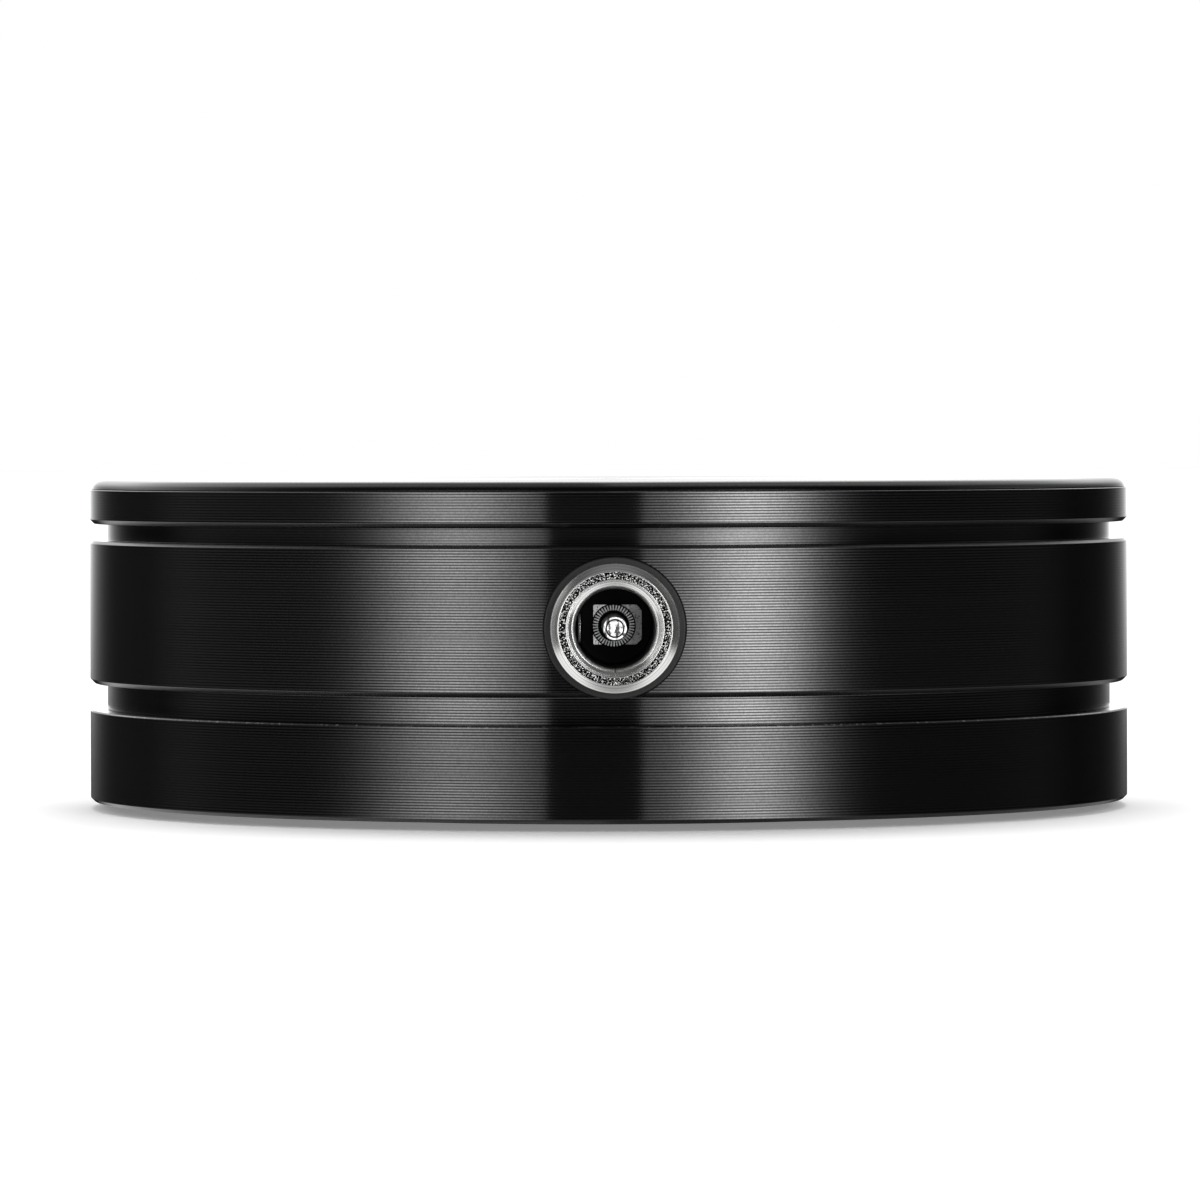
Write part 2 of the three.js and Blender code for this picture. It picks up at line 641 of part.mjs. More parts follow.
// A turned knob: a plain skirt, a fluted grip with a chamfered nose, and a recess for the nut.
function knobShell() {
  const skirt = turned([
    [0, KNOB.back], [KNOB.r - 0.3, KNOB.back], [KNOB.r, KNOB.back + 0.3],
    [KNOB.r, KNOB.skirtEnd - 0.3], [KNOB.r - 0.3, KNOB.skirtEnd], [0, KNOB.skirtEnd],
  ], 48);
  const nose = turned([
    [0, KNOB.skirtEnd - 0.5], [KNOB.r, KNOB.skirtEnd - 0.5], [KNOB.r, KNOB.end - 1.2],
    [KNOB.r - 1.2, KNOB.end], [0, KNOB.end],
  ], 48);
  const grip = common(slab(flutedOutline(), KNOB.skirtEnd - 0.5, KNOB.end), nose);
  const screwHole = rod(1.35, 1, KNOB.r + 1, 12).rotateX(Math.PI / 2)
    .translate(0, 0, KNOB.screwAt);
  const pointer = block([-0.45, 0.45], [-KNOB.r, -2.5], [KNOB.end - 0.4, KNOB.end + 1]);
  return cut(
    join(skirt, grip),
    rod(6.4, KNOB.back - 1, 48, 28),
    rod(POT.shaftR + 0.04, 40, POT.shaftEnd + 0.2, 28),
    screwHole,
    pointer,
  );
}

function addControl() {
  const control = new THREE.Group();
  control.rotation.x = -Math.PI / 2;
  control.position.z = AXIS_Z;
  stirrer.add(control);
  add(control, 'pot_body', potBody(), blackPlastic);
  const bush = tube(POT.shaftR + 0.05, POT.bushR, POT.bodyFront + GAP, POT.bushEnd, 28);
  add(control, 'pot_bush', bush, brass);
  const seat = SPOT_FACE + GAP;
  add(control, 'pot_washer', tube(POT.bushR + 0.05, POT.washerR, seat, seat + 0.4, 28), nickel);
  const nut = cut(hexPrism(NUT_FLATS, seat + 0.43, seat + 2.4), rod(POT.bushR + 0.05, 40, 50, 28));
  add(control, 'pot_nut', nut, nickel);

  // Everything that turns with the knob, with the pointer along this group's -Y.
  const turning = new THREE.Group();
  turning.rotation.z = KNOB_REST;
  control.add(turning);
  add(turning, 'pot_shaft', potShaft(), steel);
  add(turning, 'knob', knobShell(), anodised);
  const grub = cut(rod(1.3, 1.6, 6.4, 12), hexPrism(1.3, 4.9, 8));
  add(turning, 'knob_screw', grub.rotateX(Math.PI / 2).translate(0, 0, KNOB.screwAt), darkSteel);
}

// ---------------------------------------------------------------- control board

const BOARD_SCREW = [16.5, 18.5];

function controlBoard() {
  const outline = new THREE.Shape();
  const corners = [
    [-20, 15.5], [20, 15.5], [20, 31], [18, 33], [7, 33], [7, 38.4],
    [-7, 38.4], [-7, 33], [-18, 33], [-20, 31],
  ];
  corners.forEach(([x, y], i) => (i ? outline.lineTo(x, y) : outline.moveTo(x, y)));
  outline.closePath();
  const hole = (side) => rod(1.3, 0, 20, 12).translate(side * BOARD_SCREW[0], BOARD_SCREW[1], 0);
  return cut(slab(outline, BOARD_LOW, BOARD_HIGH), hole(1), hole(-1));
}

// The indicator lamp, with its two leads bent down to the board.
function statusLamp() {
  const dome = quarterRound(0, LAMP.tip - LAMP.r, LAMP.r, 4).slice(0, -1);
  const lens = turned([
    [0, LAMP.flange - 1], [LAMP.r + 0.4, LAMP.flange - 1], [LAMP.r + 0.4, LAMP.flange],
    [LAMP.r, LAMP.flange], ...dome, [0, LAMP.tip],
  ], 16);
  const drop = AXIS_Z - BOARD_HIGH - 0.1;
  const lead = (x) => join(
    block([x - 0.25, x + 0.25], [-0.25, 0.25], [34.4, LAMP.flange - 0.5]),
    block([x - 0.25, x + 0.25], [-0.25, drop], [34.4, 34.9]),
  );
  return placeLamp(join(lens, lead(0.8), lead(-0.8)));
}

function addBoard() {
  const boardTop = BOARD_HIGH + GAP;
  add(stirrer, 'control_board', controlBoard(), boardGreen);
  [1, -1].forEach((side, i) => {
    const n = i + 1;
    const [x, y] = [side * BOARD_SCREW[0], BOARD_SCREW[1]];
    const standoff = cut(
      hexPrism(4.5, FLOOR_TOP + GAP, BOARD_LOW - GAP),
      rod(1.1, BOARD_LOW - 4, BOARD_LOW + 1, 12),
    );
    add(stirrer, `board_standoff_${n}`, standoff, brass).position.set(x, y, 0);
    add(stirrer, `board_screw_${n}`, panScrew(1, 5, 2, 1.2, boardTop), darkSteel)
      .position.set(x, y, 0);
  });
  add(stirrer, 'status_lamp', statusLamp(), ledRed);
  const chip = block(CHIP.x, CHIP.y, [boardTop, boardTop + CHIP.high]);
  add(stirrer, 'driver_chip', chip, blackPlastic);
  const can = rod(CAPACITOR.r, boardTop, boardTop + CAPACITOR.high, 24);
  add(stirrer, 'filter_capacitor', can, steel).position.set(CAPACITOR.x, CAPACITOR.y, 0);
}

// The leads from the inlet to the board, and from the board to the motor.
function addWires() {
  const landing = BOARD_HIGH + 0.15;
  add(stirrer, 'wire_power_positive', wire([
    [0.4, -27.2, 16.9], [-5, -26.4, 16.8], [-14, -23.6, 15.2], [-24, -16.5, 13.8],
    [-31, -5, 12.4], [-31, 6, 11.8], [-26, 14, 12.6], [-18, 19, 13.6],
    [-14, 21.5, 12.4], [-13.6, 21.8, landing],
  ]), redWire);
  add(stirrer, 'wire_power_negative', wire([
    [-3.5, -26.3, 14.7], [-8, -24.6, 14.4], [-14.5, -21.6, 13.3], [-22.5, -15.4, 12.2],
    [-29, -5, 10.6], [-29, 5, 10.1], [-24.4, 12.4, 11.4], [-17, 15.6, 12.8],
    [-12.4, 17.4, 11.8], [-11.8, 17.8, landing],
  ]), blackWire);
  add(stirrer, 'wire_motor_positive', wire([
    [13.8, 0, 4.4], [16.6, 2, 5], [17.6, 6, 7], [15.8, 10.6, 10.4],
    [13.4, 14.2, 12.6], [12, 17, 12], [11.7, 17.6, landing],
  ]), redWire);
  add(stirrer, 'wire_motor_negative', wire([
    [-13.8, 0, 4.4], [-16.4, 3, 5.2], [-15.6, 8, 7.6], [-11, 12.6, 11],
    [-4, 15.6, 13], [-0.6, 18, 12], [-0.2, 18.6, landing],
  ]), blackWire);
}

addCase();
addMotor();
addRotor();
addInlet();
addControl();
addBoard();
addWires();

export default stirrer;
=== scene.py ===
"""Looks for a compact magnetic stirrer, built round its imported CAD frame.

Lengths are in millimetres until a mesh is made, in the frame's own axes: +Z up, the power inlet
towards -Y and the speed knob towards +Y.
"""
import math

import bmesh
import bpy
from mathutils import Matrix, Vector


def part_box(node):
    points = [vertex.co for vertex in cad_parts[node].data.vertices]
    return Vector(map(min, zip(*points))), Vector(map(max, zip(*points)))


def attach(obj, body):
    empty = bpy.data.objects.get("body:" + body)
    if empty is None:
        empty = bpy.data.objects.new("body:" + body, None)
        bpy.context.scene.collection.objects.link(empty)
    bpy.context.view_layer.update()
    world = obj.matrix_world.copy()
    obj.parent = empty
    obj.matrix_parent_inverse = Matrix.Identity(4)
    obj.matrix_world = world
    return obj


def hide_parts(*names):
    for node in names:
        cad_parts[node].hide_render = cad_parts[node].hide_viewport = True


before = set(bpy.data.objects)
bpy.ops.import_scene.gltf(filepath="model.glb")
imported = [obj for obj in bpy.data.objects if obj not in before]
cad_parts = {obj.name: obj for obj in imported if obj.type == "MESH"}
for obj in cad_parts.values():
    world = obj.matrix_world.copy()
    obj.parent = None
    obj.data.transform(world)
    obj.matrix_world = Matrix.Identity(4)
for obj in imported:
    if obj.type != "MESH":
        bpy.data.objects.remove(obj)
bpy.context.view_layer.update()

MM = 0.001
TURN = math.tau
SIDES = 360  # round a case piece
LARGE = 192  # round the inlet's bezel, the motor or the magnets' hub
MIDDLE = 128  # round a piece the size of the inlet's sleeve
SMALL = 64  # round a screw or a pin


def span(node):
    """Lowest and highest corner of a CAD node, in millimetres."""
    low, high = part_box(node)
    return low / MM, high / MM


# ---- sizes taken from the frame

LID_BOX = span("top_cover")
RING_BOX = span("body_ring")
BASE_BOX = span("base_cover")
PAD_BOX = span("foot_pad")
JACK_BOX = span("jack_barrel")

BODY_R = LID_BOX[1].x
TOP = LID_BOX[1].z
AXIS_Z = (JACK_BOX[0].z + JACK_BOX[1].z) / 2  # height of the inlet's and the knob's axes
BASE_LOW = BASE_BOX[0].z
BASE_HIGH = BASE_BOX[1].z
BOARD_HIGH = span("control_board")[1].z
PAD_R = PAD_BOX[1].x
PAD_HIGH = PAD_BOX[1].z
SPIGOT_LOW = RING_BOX[0].z + 2.77  # the ring's lugs reach lower than its spigot
LID_SPIGOT_LOW = LID_BOX[0].z

# ---- sizes shared with the CAD

GROOVE_DEPTH = 1.5
NECK_R = BODY_R - GROOVE_DEPTH
BAND_LOW = 10.9
BAND_HIGH = 23.2
LID_LOW = 24.65
EDGE = 0.37
FINE_EDGE = 0.25
TOP_ROUND = 1.1
BORE_R = 40.0
CUP_R = 42.0
FLOOR_TOP = 2.7
LID_SPIGOT_R = 39.8
WELL_R = 31.5
PLATE_LOW = TOP - 1.5
LUG_COUNT = 4
LUG_PITCH_R = 37.2
LUG_R = 3.8
SCREW_R = 1.45
SCREW_TOP = 26.6
SEAT = 44.5  # flat seats in the wall for the inlet and the speed control
SEAT_R = 5.85
GAP = 0.03  # between pieces that touch

# Distances are outwards from the case's axis, along the inlet's or the control's own axis.
JACK = {
    "thread_r": 4.0,
    "bore_r": 3.6,
    "liner_r": 3.2,
    "flange_r": 5.25,
    "face": 46.6,
    "liner_end": 45.9,
    "flange_back": 45.2,
    "washer_r": 5.78,
    "inner_seat": 40.5,
    "cavity_floor": 36.6,
    "sleeve_back": 34.6,
    "pin_r": 1.0,
    "pin_tip": 45.9,
}
POT = {"bush_r": 3.5, "shaft_r": 3.0, "shaft_end": 57.0}
KNOB = {
    "r": 8.0,
    "grip_r": 7.5,
    "back": 45.7,
    "skirt_end": 48.4,
    "end": 59.5,
    "flutes": 28,
    "flute_depth": 0.45,
    "flute_at": 0.775,  # its middle and half width, as shares of the spacing
    "flute_half": 0.225,
    "pointer_depth": 0.42,
    "screw_at": 52.4,
    "rest": math.radians(150),
}
LAMP = {"r": 1.5, "bearing": math.radians(66), "tip": 45.3, "flange": 39.8, "lead_half": 0.25}
NUT = {"across_flats": 10, "corner_r": 5.8, "face_r": 5.1, "ease": 0.4, "play": 0.05}

# ---- camera and stage

CAMERA_DISTANCE = 639.0
CAMERA_HEIGHT = 32.1
CAMERA_AZIMUTH = math.radians(-0.65)
CAMERA_ROLL = math.radians(-0.17)
CAMERA_AIM = Vector((-0.74, 0, 17.83))
LENS = 220.35
SENSOR = 36.0


def make_camera():
    data = bpy.data.cameras.new("camera")
    data.lens = LENS
    data.sensor_width = SENSOR
    data.clip_start = 0.05
    data.clip_end = 50
    camera = bpy.data.objects.new("camera", data)
    bpy.context.collection.objects.link(camera)
    place = Vector((
        CAMERA_DISTANCE * math.sin(CAMERA_AZIMUTH),
        -CAMERA_DISTANCE * math.cos(CAMERA_AZIMUTH),
        CAMERA_HEIGHT,
    ))
    look = (CAMERA_AIM - place).to_track_quat("-Z", "Y").to_matrix().to_4x4()
    roll = Matrix.Rotation(CAMERA_ROLL, 4, "Z")
    camera.matrix_world = Matrix.Translation(place * MM) @ look @ roll
    bpy.context.scene.camera = camera


class Field:
    """A number that varies from place to place: shader nodes written as plain arithmetic."""

    def __init__(self, tree, socket):
        self.tree = tree
        self.socket = socket

    def maths(self, operation, *others):
        node = self.tree.nodes.new("ShaderNodeMath")
        node.operation = operation
        for slot, value in zip(node.inputs, (self, *others)):
            if isinstance(value, Field):
                self.tree.links.new(value.socket, slot)
            else:
                slot.default_value = value
        return Field(self.tree, node.outputs[0])

    def __add__(self, other):
        return self.maths("ADD", other)

    def __sub__(self, other):
        return self.maths("SUBTRACT", other)

    def __mul__(self, other):
        return self.maths("MULTIPLY", other)

    def __truediv__(self, other):
        return self.maths("DIVIDE", other)

    __radd__ = __add__
    __rmul__ = __mul__

    def clamp(self, low=0.0, high=1.0):
        return self.maths("MAXIMUM", low).maths("MINIMUM", high)

    def step(self, low, high):
        """0 below low, 1 above high, and smooth in between."""
        node = self.tree.nodes.new("ShaderNodeMapRange")
        node.interpolation_type = "SMOOTHSTEP"
        node.inputs["From Min"].default_value = low
        node.inputs["From Max"].default_value = high
        self.tree.links.new(self.socket, node.inputs["Value"])
        return Field(self.tree, node.outputs["Result"])

    def bell(self, middle, width):
        """1 at the middle, falling away on both sides."""
        away = (self - middle) / width
        return (away * away * -1.0).maths("EXPONENT")


def split(tree, vector):
    node = tree.nodes.new("ShaderNodeSeparateXYZ")
    tree.links.new(vector, node.inputs[0])
    return [Field(tree, out) for out in node.outputs]


def mix_shaders(tree, share, first, second, output):
    """Feeds an output with one shader where share is 0 and another where it is 1."""
    mix = tree.nodes.new("ShaderNodeMixShader")
    tree.links.new(share, mix.inputs[0])
    tree.links.new(first.outputs[0], mix.inputs[1])
    tree.links.new(second.outputs[0], mix.inputs[2])
    tree.links.new(mix.outputs[0], output.inputs["Surface"])


# The room that the gloss reflects. Bearings are in degrees from -Y, growing towards +X, and rises
# are in degrees above the horizon. A pair says where something has gone and where it is full.
ROOM_DIM = 0.02
ROOM_FRONT = {"power": 0.075, "side": (126, 104)}
FRONT_TOP = (40, 24)
FRONT_FOOT = (26, 14)  # below the horizon
CRISP = 0.6  # half the width of a front light's inner edge
LEFT_LIGHT = {"bearing": -34.5, "width": 16.0, "edge": -14.2, "power": 5.6}
RIGHT_LIGHT = {"bearing": 30.5, "width": 12.5, "edge": 6.7, "power": 10.0, "side": (75, 60)}
LEFT_SPILL = {"power": 0.08, "front": (-50, -75), "back": (-124, -104)}
RIGHT_SPILL = {"power": 1.0, "side": (30, 12)}
BACK_LIGHT = {"bearing": 180.0, "width": 19.0, "power": 1.6, "foot": (-2.5, 0.0), "top": (34, 12)}
BACK_GLOW = {"power": 0.55, "top": (5, 1)}  # more of the same, low down
HIGH_LIGHT = {"bearing": -160.0, "rise": 25.0, "power": 1.9, "spread": (0.45, 1.0), "foot": (6, 24)}
RIGHT_WALL = {"power": 0.8, "side": (80, 112), "foot": (12, 28)}
OVERHEAD = {"power": 0.2, "foot": (44, 72)}
FLOOR_NEAR = 0.4  # straight down, beside the case
FLOOR_FAR = {"power": 1.0, "side": (130, 70), "near": (72, 50)}  # further out in front of it
FLOOR_LEFT = {"power": 0.7, "side": (-60, -115)}
FLOOR_EDGE = (15, 26)  # below the horizon, and nearer to it behind the case
FLOOR_EDGE_BACK = {"nearer": 7.0, "side": (80, 120)}


def make_world():
    world = bpy.data.worlds.new("studio")
    bpy.context.scene.world = world
    world.use_nodes = True
    tree = world.node_tree
    tree.nodes.clear()
    coordinates = tree.nodes.new("ShaderNodeTexCoord")
    x, y, z = split(tree, coordinates.outputs["Generated"])
    degrees = 180 / math.pi
    bearing = x.maths("ARCTAN2", y * -1.0) * degrees
    rise = z.maths("ARCSINE") * degrees
    fall = rise * -1.0
    aside = bearing.maths("ABSOLUTE")

    left = bearing.bell(LEFT_LIGHT["bearing"], LEFT_LIGHT["width"]) * LEFT_LIGHT["power"]
    left = left * bearing.step(LEFT_LIGHT["edge"] + CRISP, LEFT_LIGHT["edge"] - CRISP)
    right = bearing.bell(RIGHT_LIGHT["bearing"], RIGHT_LIGHT["width"]) * RIGHT_LIGHT["power"]
    right = right + bearing.step(*RIGHT_SPILL["side"]) * RIGHT_SPILL["power"]
    right = right * bearing.step(RIGHT_LIGHT["edge"] - CRISP, RIGHT_LIGHT["edge"] + CRISP)
    right = right * bearing.step(*RIGHT_LIGHT["side"])
    front = (left + right) * (rise.step(*FRONT_TOP) * fall.step(*FRONT_FOOT))
    back = aside.bell(BACK_LIGHT["bearing"], BACK_LIGHT["width"]) * BACK_LIGHT["power"]
    back = back * rise.step(*BACK_LIGHT["foot"]) * rise.step(*BACK_LIGHT["top"])
    back = back * (rise.step(*BACK_GLOW["top"]) * BACK_GLOW["power"] + 1.0)
    turn = math.radians(HIGH_LIGHT["bearing"])
    lift = math.radians(HIGH_LIGHT["rise"])
    towards = x * (math.sin(turn) * math.cos(lift)) - y * (math.cos(turn) * math.cos(lift))
    high = (towards + z * math.sin(lift)).step(*HIGH_LIGHT["spread"])
    high = high * rise.step(*HIGH_LIGHT["foot"]) * HIGH_LIGHT["power"]
    wall = bearing.step(*RIGHT_WALL["side"]) * rise.step(*RIGHT_WALL["foot"]) * RIGHT_WALL["power"]
    above = rise.step(*OVERHEAD["foot"]) * OVERHEAD["power"]
    spill = bearing.step(*LEFT_SPILL["front"]) * bearing.step(*LEFT_SPILL["back"]) * LEFT_SPILL["power"]
    room = aside.step(*ROOM_FRONT["side"]) * ROOM_FRONT["power"] + spill + ROOM_DIM
    below = aside.step(*FLOOR_FAR["side"]) * fall.step(*FLOOR_FAR["near"]) * FLOOR_FAR["power"]
    below = below + bearing.step(*FLOOR_LEFT["side"]) * FLOOR_LEFT["power"] + FLOOR_NEAR
    nearer = aside.step(*FLOOR_EDGE_BACK["side"]) * FLOOR_EDGE_BACK["nearer"]
    below = below * (fall + nearer).step(*FLOOR_EDGE)
    glow = front + back + high + wall + above + below + room

    seen = tree.nodes.new("ShaderNodeLightPath")
    studio = tree.nodes.new("ShaderNodeBackground")
    tree.links.new(glow.socket, studio.inputs["Strength"])
    white = tree.nodes.new("ShaderNodeBackground")
    white.inputs["Color"].default_value = (1, 1, 1, 1)
    output = tree.nodes.new("ShaderNodeOutputWorld")
    mix_shaders(tree, seen.outputs["Is Camera Ray"], studio, white, output)


FILL_RISE = math.radians(72)
FILL_SIZE = math.radians(35)
FILL_POWER = 1.2


def make_fill_light():
    """A broad soft light overhead. It lights the floor and matt pieces, and no gloss shows it."""
    data = bpy.data.lights.new("fill_light", "SUN")
    data.energy = FILL_POWER
    data.angle = FILL_SIZE
    light = bpy.data.objects.new("fill_light", data)
    bpy.context.collection.objects.link(light)
    light.rotation_euler = (FILL_RISE - math.pi / 2, 0, 0)
    light.visible_glossy = False


FLOOR_HALF = 6000.0
FLOOR_Z = -0.01  # a hair below the pad, so that the two don't flicker
FLOOR_OWN_LIGHT = 0.2


def make_floor():
    corners = [(-1, -1), (1, -1), (1, 1), (-1, 1)]
    verts = [(x * FLOOR_HALF, y * FLOOR_HALF, FLOOR_Z) for x, y in corners]
    floor = new_piece("floor", verts, [(0, 1, 2, 3)])
    floor.visible_glossy = False
    surface = Surface("floor_white", (0.9, 0.9, 0.9), 1.0)
    surface.shader.inputs["Emission Color"].default_value = (1, 1, 1, 1)
    surface.shader.inputs["Emission Strength"].default_value = FLOOR_OWN_LIGHT
    surface.shader.inputs["Specular IOR Level"].default_value = 0
    see_through_from_below(surface)
    paint(floor, surface)


def see_through_from_below(surface):
    """Lets the stirrer's underside be seen through the floor."""
    tree = surface.tree
    side = tree.nodes.new("ShaderNodeNewGeometry")
    clear = tree.nodes.new("ShaderNodeBsdfTransparent")
    output = tree.nodes["Material Output"]
    mix_shaders(tree, side.outputs["Backfacing"], surface.shader, clear, output)


# ---- mesh helpers

SHARP = math.radians(32)
WALL_FACING = math.cos(math.radians(1.5))
SLIVER = 0.0003  # an edge shorter than this is closed up


def new_piece(name, verts, faces):
    """A new object from points in millimetres."""
    mesh = bpy.data.meshes.new(name)
    mesh.from_pydata([[c * MM for c in v] for v in verts], [], faces)
    mesh.update()
    piece = bpy.data.objects.new(name, mesh)
    bpy.context.collection.objects.link(piece)
    smooth(piece)
    return piece


def smooth(piece):
    piece.data.shade_smooth()
    piece.data.set_sharp_from_angle(angle=SHARP)


def rounded(corners, steps=6):
    """The points of an outline. A corner is (r, z), or (r, z, radius) to round it."""
    points = []
    for i, corner in enumerate(corners):
        here = Vector(corner[:2])
        if len(corner) == 2:
            points.append(tuple(here))
            continue
        back = Vector(corners[i - 1][:2]) - here
        on = Vector(corners[(i + 1) % len(corners)][:2]) - here
        half = back.angle(on) / 2
        reach = min(corner[2] / math.tan(half), 0.49 * min(back.length, on.length))
        middle = (back.normalized() + on.normalized()).normalized()
        centre = here + middle * reach / math.cos(half)
        start = here + back.normalized() * reach - centre
        end = here + on.normalized() * reach - centre
        first = math.atan2(start.y, start.x)
        sweep = (math.atan2(end.y, end.x) - first + math.pi) % TURN - math.pi
        for k in range(steps + 1):
            angle = first + sweep * k / steps
            points.append((
                centre.x + start.length * math.cos(angle),
                centre.y + start.length * math.sin(angle),
            ))
    return points


def turned(name, profile, sides=MIDDLE, bend=None):
    """A piece turned about Z from (radius, height) points, listed anticlockwise.

    bend, if given, moves a point: it takes and returns a radius and a height, for one angle.
    """
    verts = []
    rings = []
    for r, z in profile:
        start = len(verts)
        if r < 1e-6:
            verts.append((0, 0, z))
            rings.append([start] * sides)
            continue
        for j in range(sides):
            angle = TURN * j / sides
            near, high = bend(r, z, angle) if bend else (r, z)
            verts.append((near * math.cos(angle), near * math.sin(angle), high))
        rings.append(list(range(start, start + sides)))
    on_axis = profile[0][0] < 1e-6 and profile[-1][0] < 1e-6
    pairs = list(zip(rings, rings[1:] if on_axis else rings[1:] + rings[:1]))
    faces = []
    for low, high in pairs:
        for j in range(sides):
            k = (j + 1) % sides
            corners = [low[j], low[k], high[k], high[j]]
            face = list(dict.fromkeys(corners))
            if len(face) > 2:
                faces.append(face)
    return new_piece(name, verts, faces)


def lathe(node, corners, steps=5, sides=MIDDLE):
    """The finer piece for a CAD node, turned about Z from corners that rounded() takes."""
    return turned(f"{node}_fine", rounded(corners, steps), sides)


def raised(name, outline, low, high):
    """A flat outline, listed anticlockwise, raised along Z."""
    count = len(outline)
    verts = [(x, y, low) for x, y in outline] + [(x, y, high) for x, y in outline]
    faces = [list(range(count))[::-1], list(range(count, 2 * count))]
    for j in range(count):
        k = (j + 1) % count
        faces.append([j, k, k + count, j + count])
    return new_piece(name, verts, faces)


def block(name, xs, ys, zs):
    """A plain box."""
    outline = [(xs[0], ys[0]), (xs[1], ys[0]), (xs[1], ys[1]), (xs[0], ys[1])]
    return raised(name, outline, *zs)


def rod(name, radius, low, high, sides=MIDDLE):
    """A plain cylinder about Z."""
    return turned(name, [(0, low), (radius, low), (radius, high), (0, high)], sides)


def hexagon(across_flats):
    radius = across_flats / math.sqrt(3)
    return [(radius * math.cos(TURN * i / 6), radius * math.sin(TURN * i / 6)) for i in range(6)]


def moved(piece, matrix):
    piece.data.transform(matrix)
    return piece


def shift(x, y, z):
    return Matrix.Translation(Vector((x, y, z)) * MM)


def spin(angle, axis="Z"):
    return Matrix.Rotation(angle, 4, axis)


def to_middle(node):
    """Moves a piece made on the Z axis to where a CAD node stands."""
    low, high = span(node)
    return shift((low.x + high.x) / 2, (low.y + high.y) / 2, 0)


OUT_OF_BACK = shift(0, 0, AXIS_Z) @ spin(math.pi / 2, "X")
OUT_OF_FRONT = shift(0, 0, AXIS_Z) @ spin(-math.pi / 2, "X")
ON_KNOB = OUT_OF_FRONT @ spin(KNOB["rest"])
IN_KNOB_SIDE = shift(0, 0, KNOB["screw_at"]) @ spin(math.pi / 2, "X")
LAMP_PLACE = spin(LAMP["bearing"] - math.pi / 2) @ OUT_OF_FRONT


def close_slivers(mesh):
    """Takes out the edges and faces of no size that cuts leave behind."""
    work = bmesh.new()
    work.from_mesh(mesh)
    bmesh.ops.remove_doubles(work, verts=work.verts, dist=SLIVER * MM)
    bmesh.ops.dissolve_degenerate(work, dist=SLIVER * MM, edges=work.edges)
    work.to_mesh(mesh)
    work.free()


def bake(piece):
    """Makes the modifiers' result the piece's own mesh."""
    graph = bpy.context.evaluated_depsgraph_get()
    mesh = bpy.data.meshes.new_from_object(piece.evaluated_get(graph))
    close_slivers(mesh)
    piece.modifiers.clear()
    piece.data = mesh
    mesh.name = piece.name
    smooth(piece)


def combine(piece, operation, tools):
    for tool in tools:
        modifier = piece.modifiers.new("combine", "BOOLEAN")
        modifier.operation = operation
        modifier.solver = "EXACT"
        modifier.object = tool
    bake(piece)
    for tool in tools:
        mesh = tool.data
        bpy.data.objects.remove(tool)
        bpy.data.meshes.remove(mesh)
    return piece


def cut(piece, *tools):
    return combine(piece, "DIFFERENCE", tools)


def join(piece, *tools):
    return combine(piece, "UNION", tools)


def common(piece, tool):
    return combine(piece, "INTERSECT", [tool])


def at_each_lug(make):
    """One piece from make() at each of the case's lugs."""
    pieces = []
    for i in range(LUG_COUNT):
        angle = TURN * (i + 0.5) / LUG_COUNT
        place = shift(LUG_PITCH_R * math.cos(angle), LUG_PITCH_R * math.sin(angle), 0)
        pieces.append(moved(make(), place))
    return pieces


def nut(node, low, high, ease, bore):
    """A hexagon nut about Z, given the outline that its corners are turned to."""
    piece = raised(f"{node}_fine", hexagon(NUT["across_flats"]), low, high)
    common(piece, turned("ease", ease))
    return cut(piece, bore)


def cross(arm, half, depth):
    """Two slots that cross on the Z axis, to cut with."""
    return (
        block("slot", (-arm, arm), (-half, half), depth),
        block("slot", (-half, half), (-arm, arm), depth),
    )


def true_wall(piece):
    """Gives the round outer walls and flat ends their exact normals, so cuts leave no shading marks."""
    mesh = piece.data
    normals = [Vector(c.vector) for c in mesh.corner_normals]
    for polygon_ in mesh.polygons:
        facing = polygon_.normal
        for loop in polygon_.loop_indices:
            point = mesh.vertices[mesh.loops[loop].vertex_index].co
            out = Vector((point.x, point.y, 0)).normalized()
            if facing.dot(out) > WALL_FACING:
                normals[loop] = out
            elif abs(facing.z) > WALL_FACING:
                normals[loop] = facing
    mesh.normals_split_custom_set(normals)


def place(piece, body, slot, surface, *nodes):
    """Hands a finished piece over: what it moves with, its finish and the nodes it stands for."""
    paint(piece, surface)
    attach(piece, body)
    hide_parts(*nodes)
    return piece


# ---- surfaces


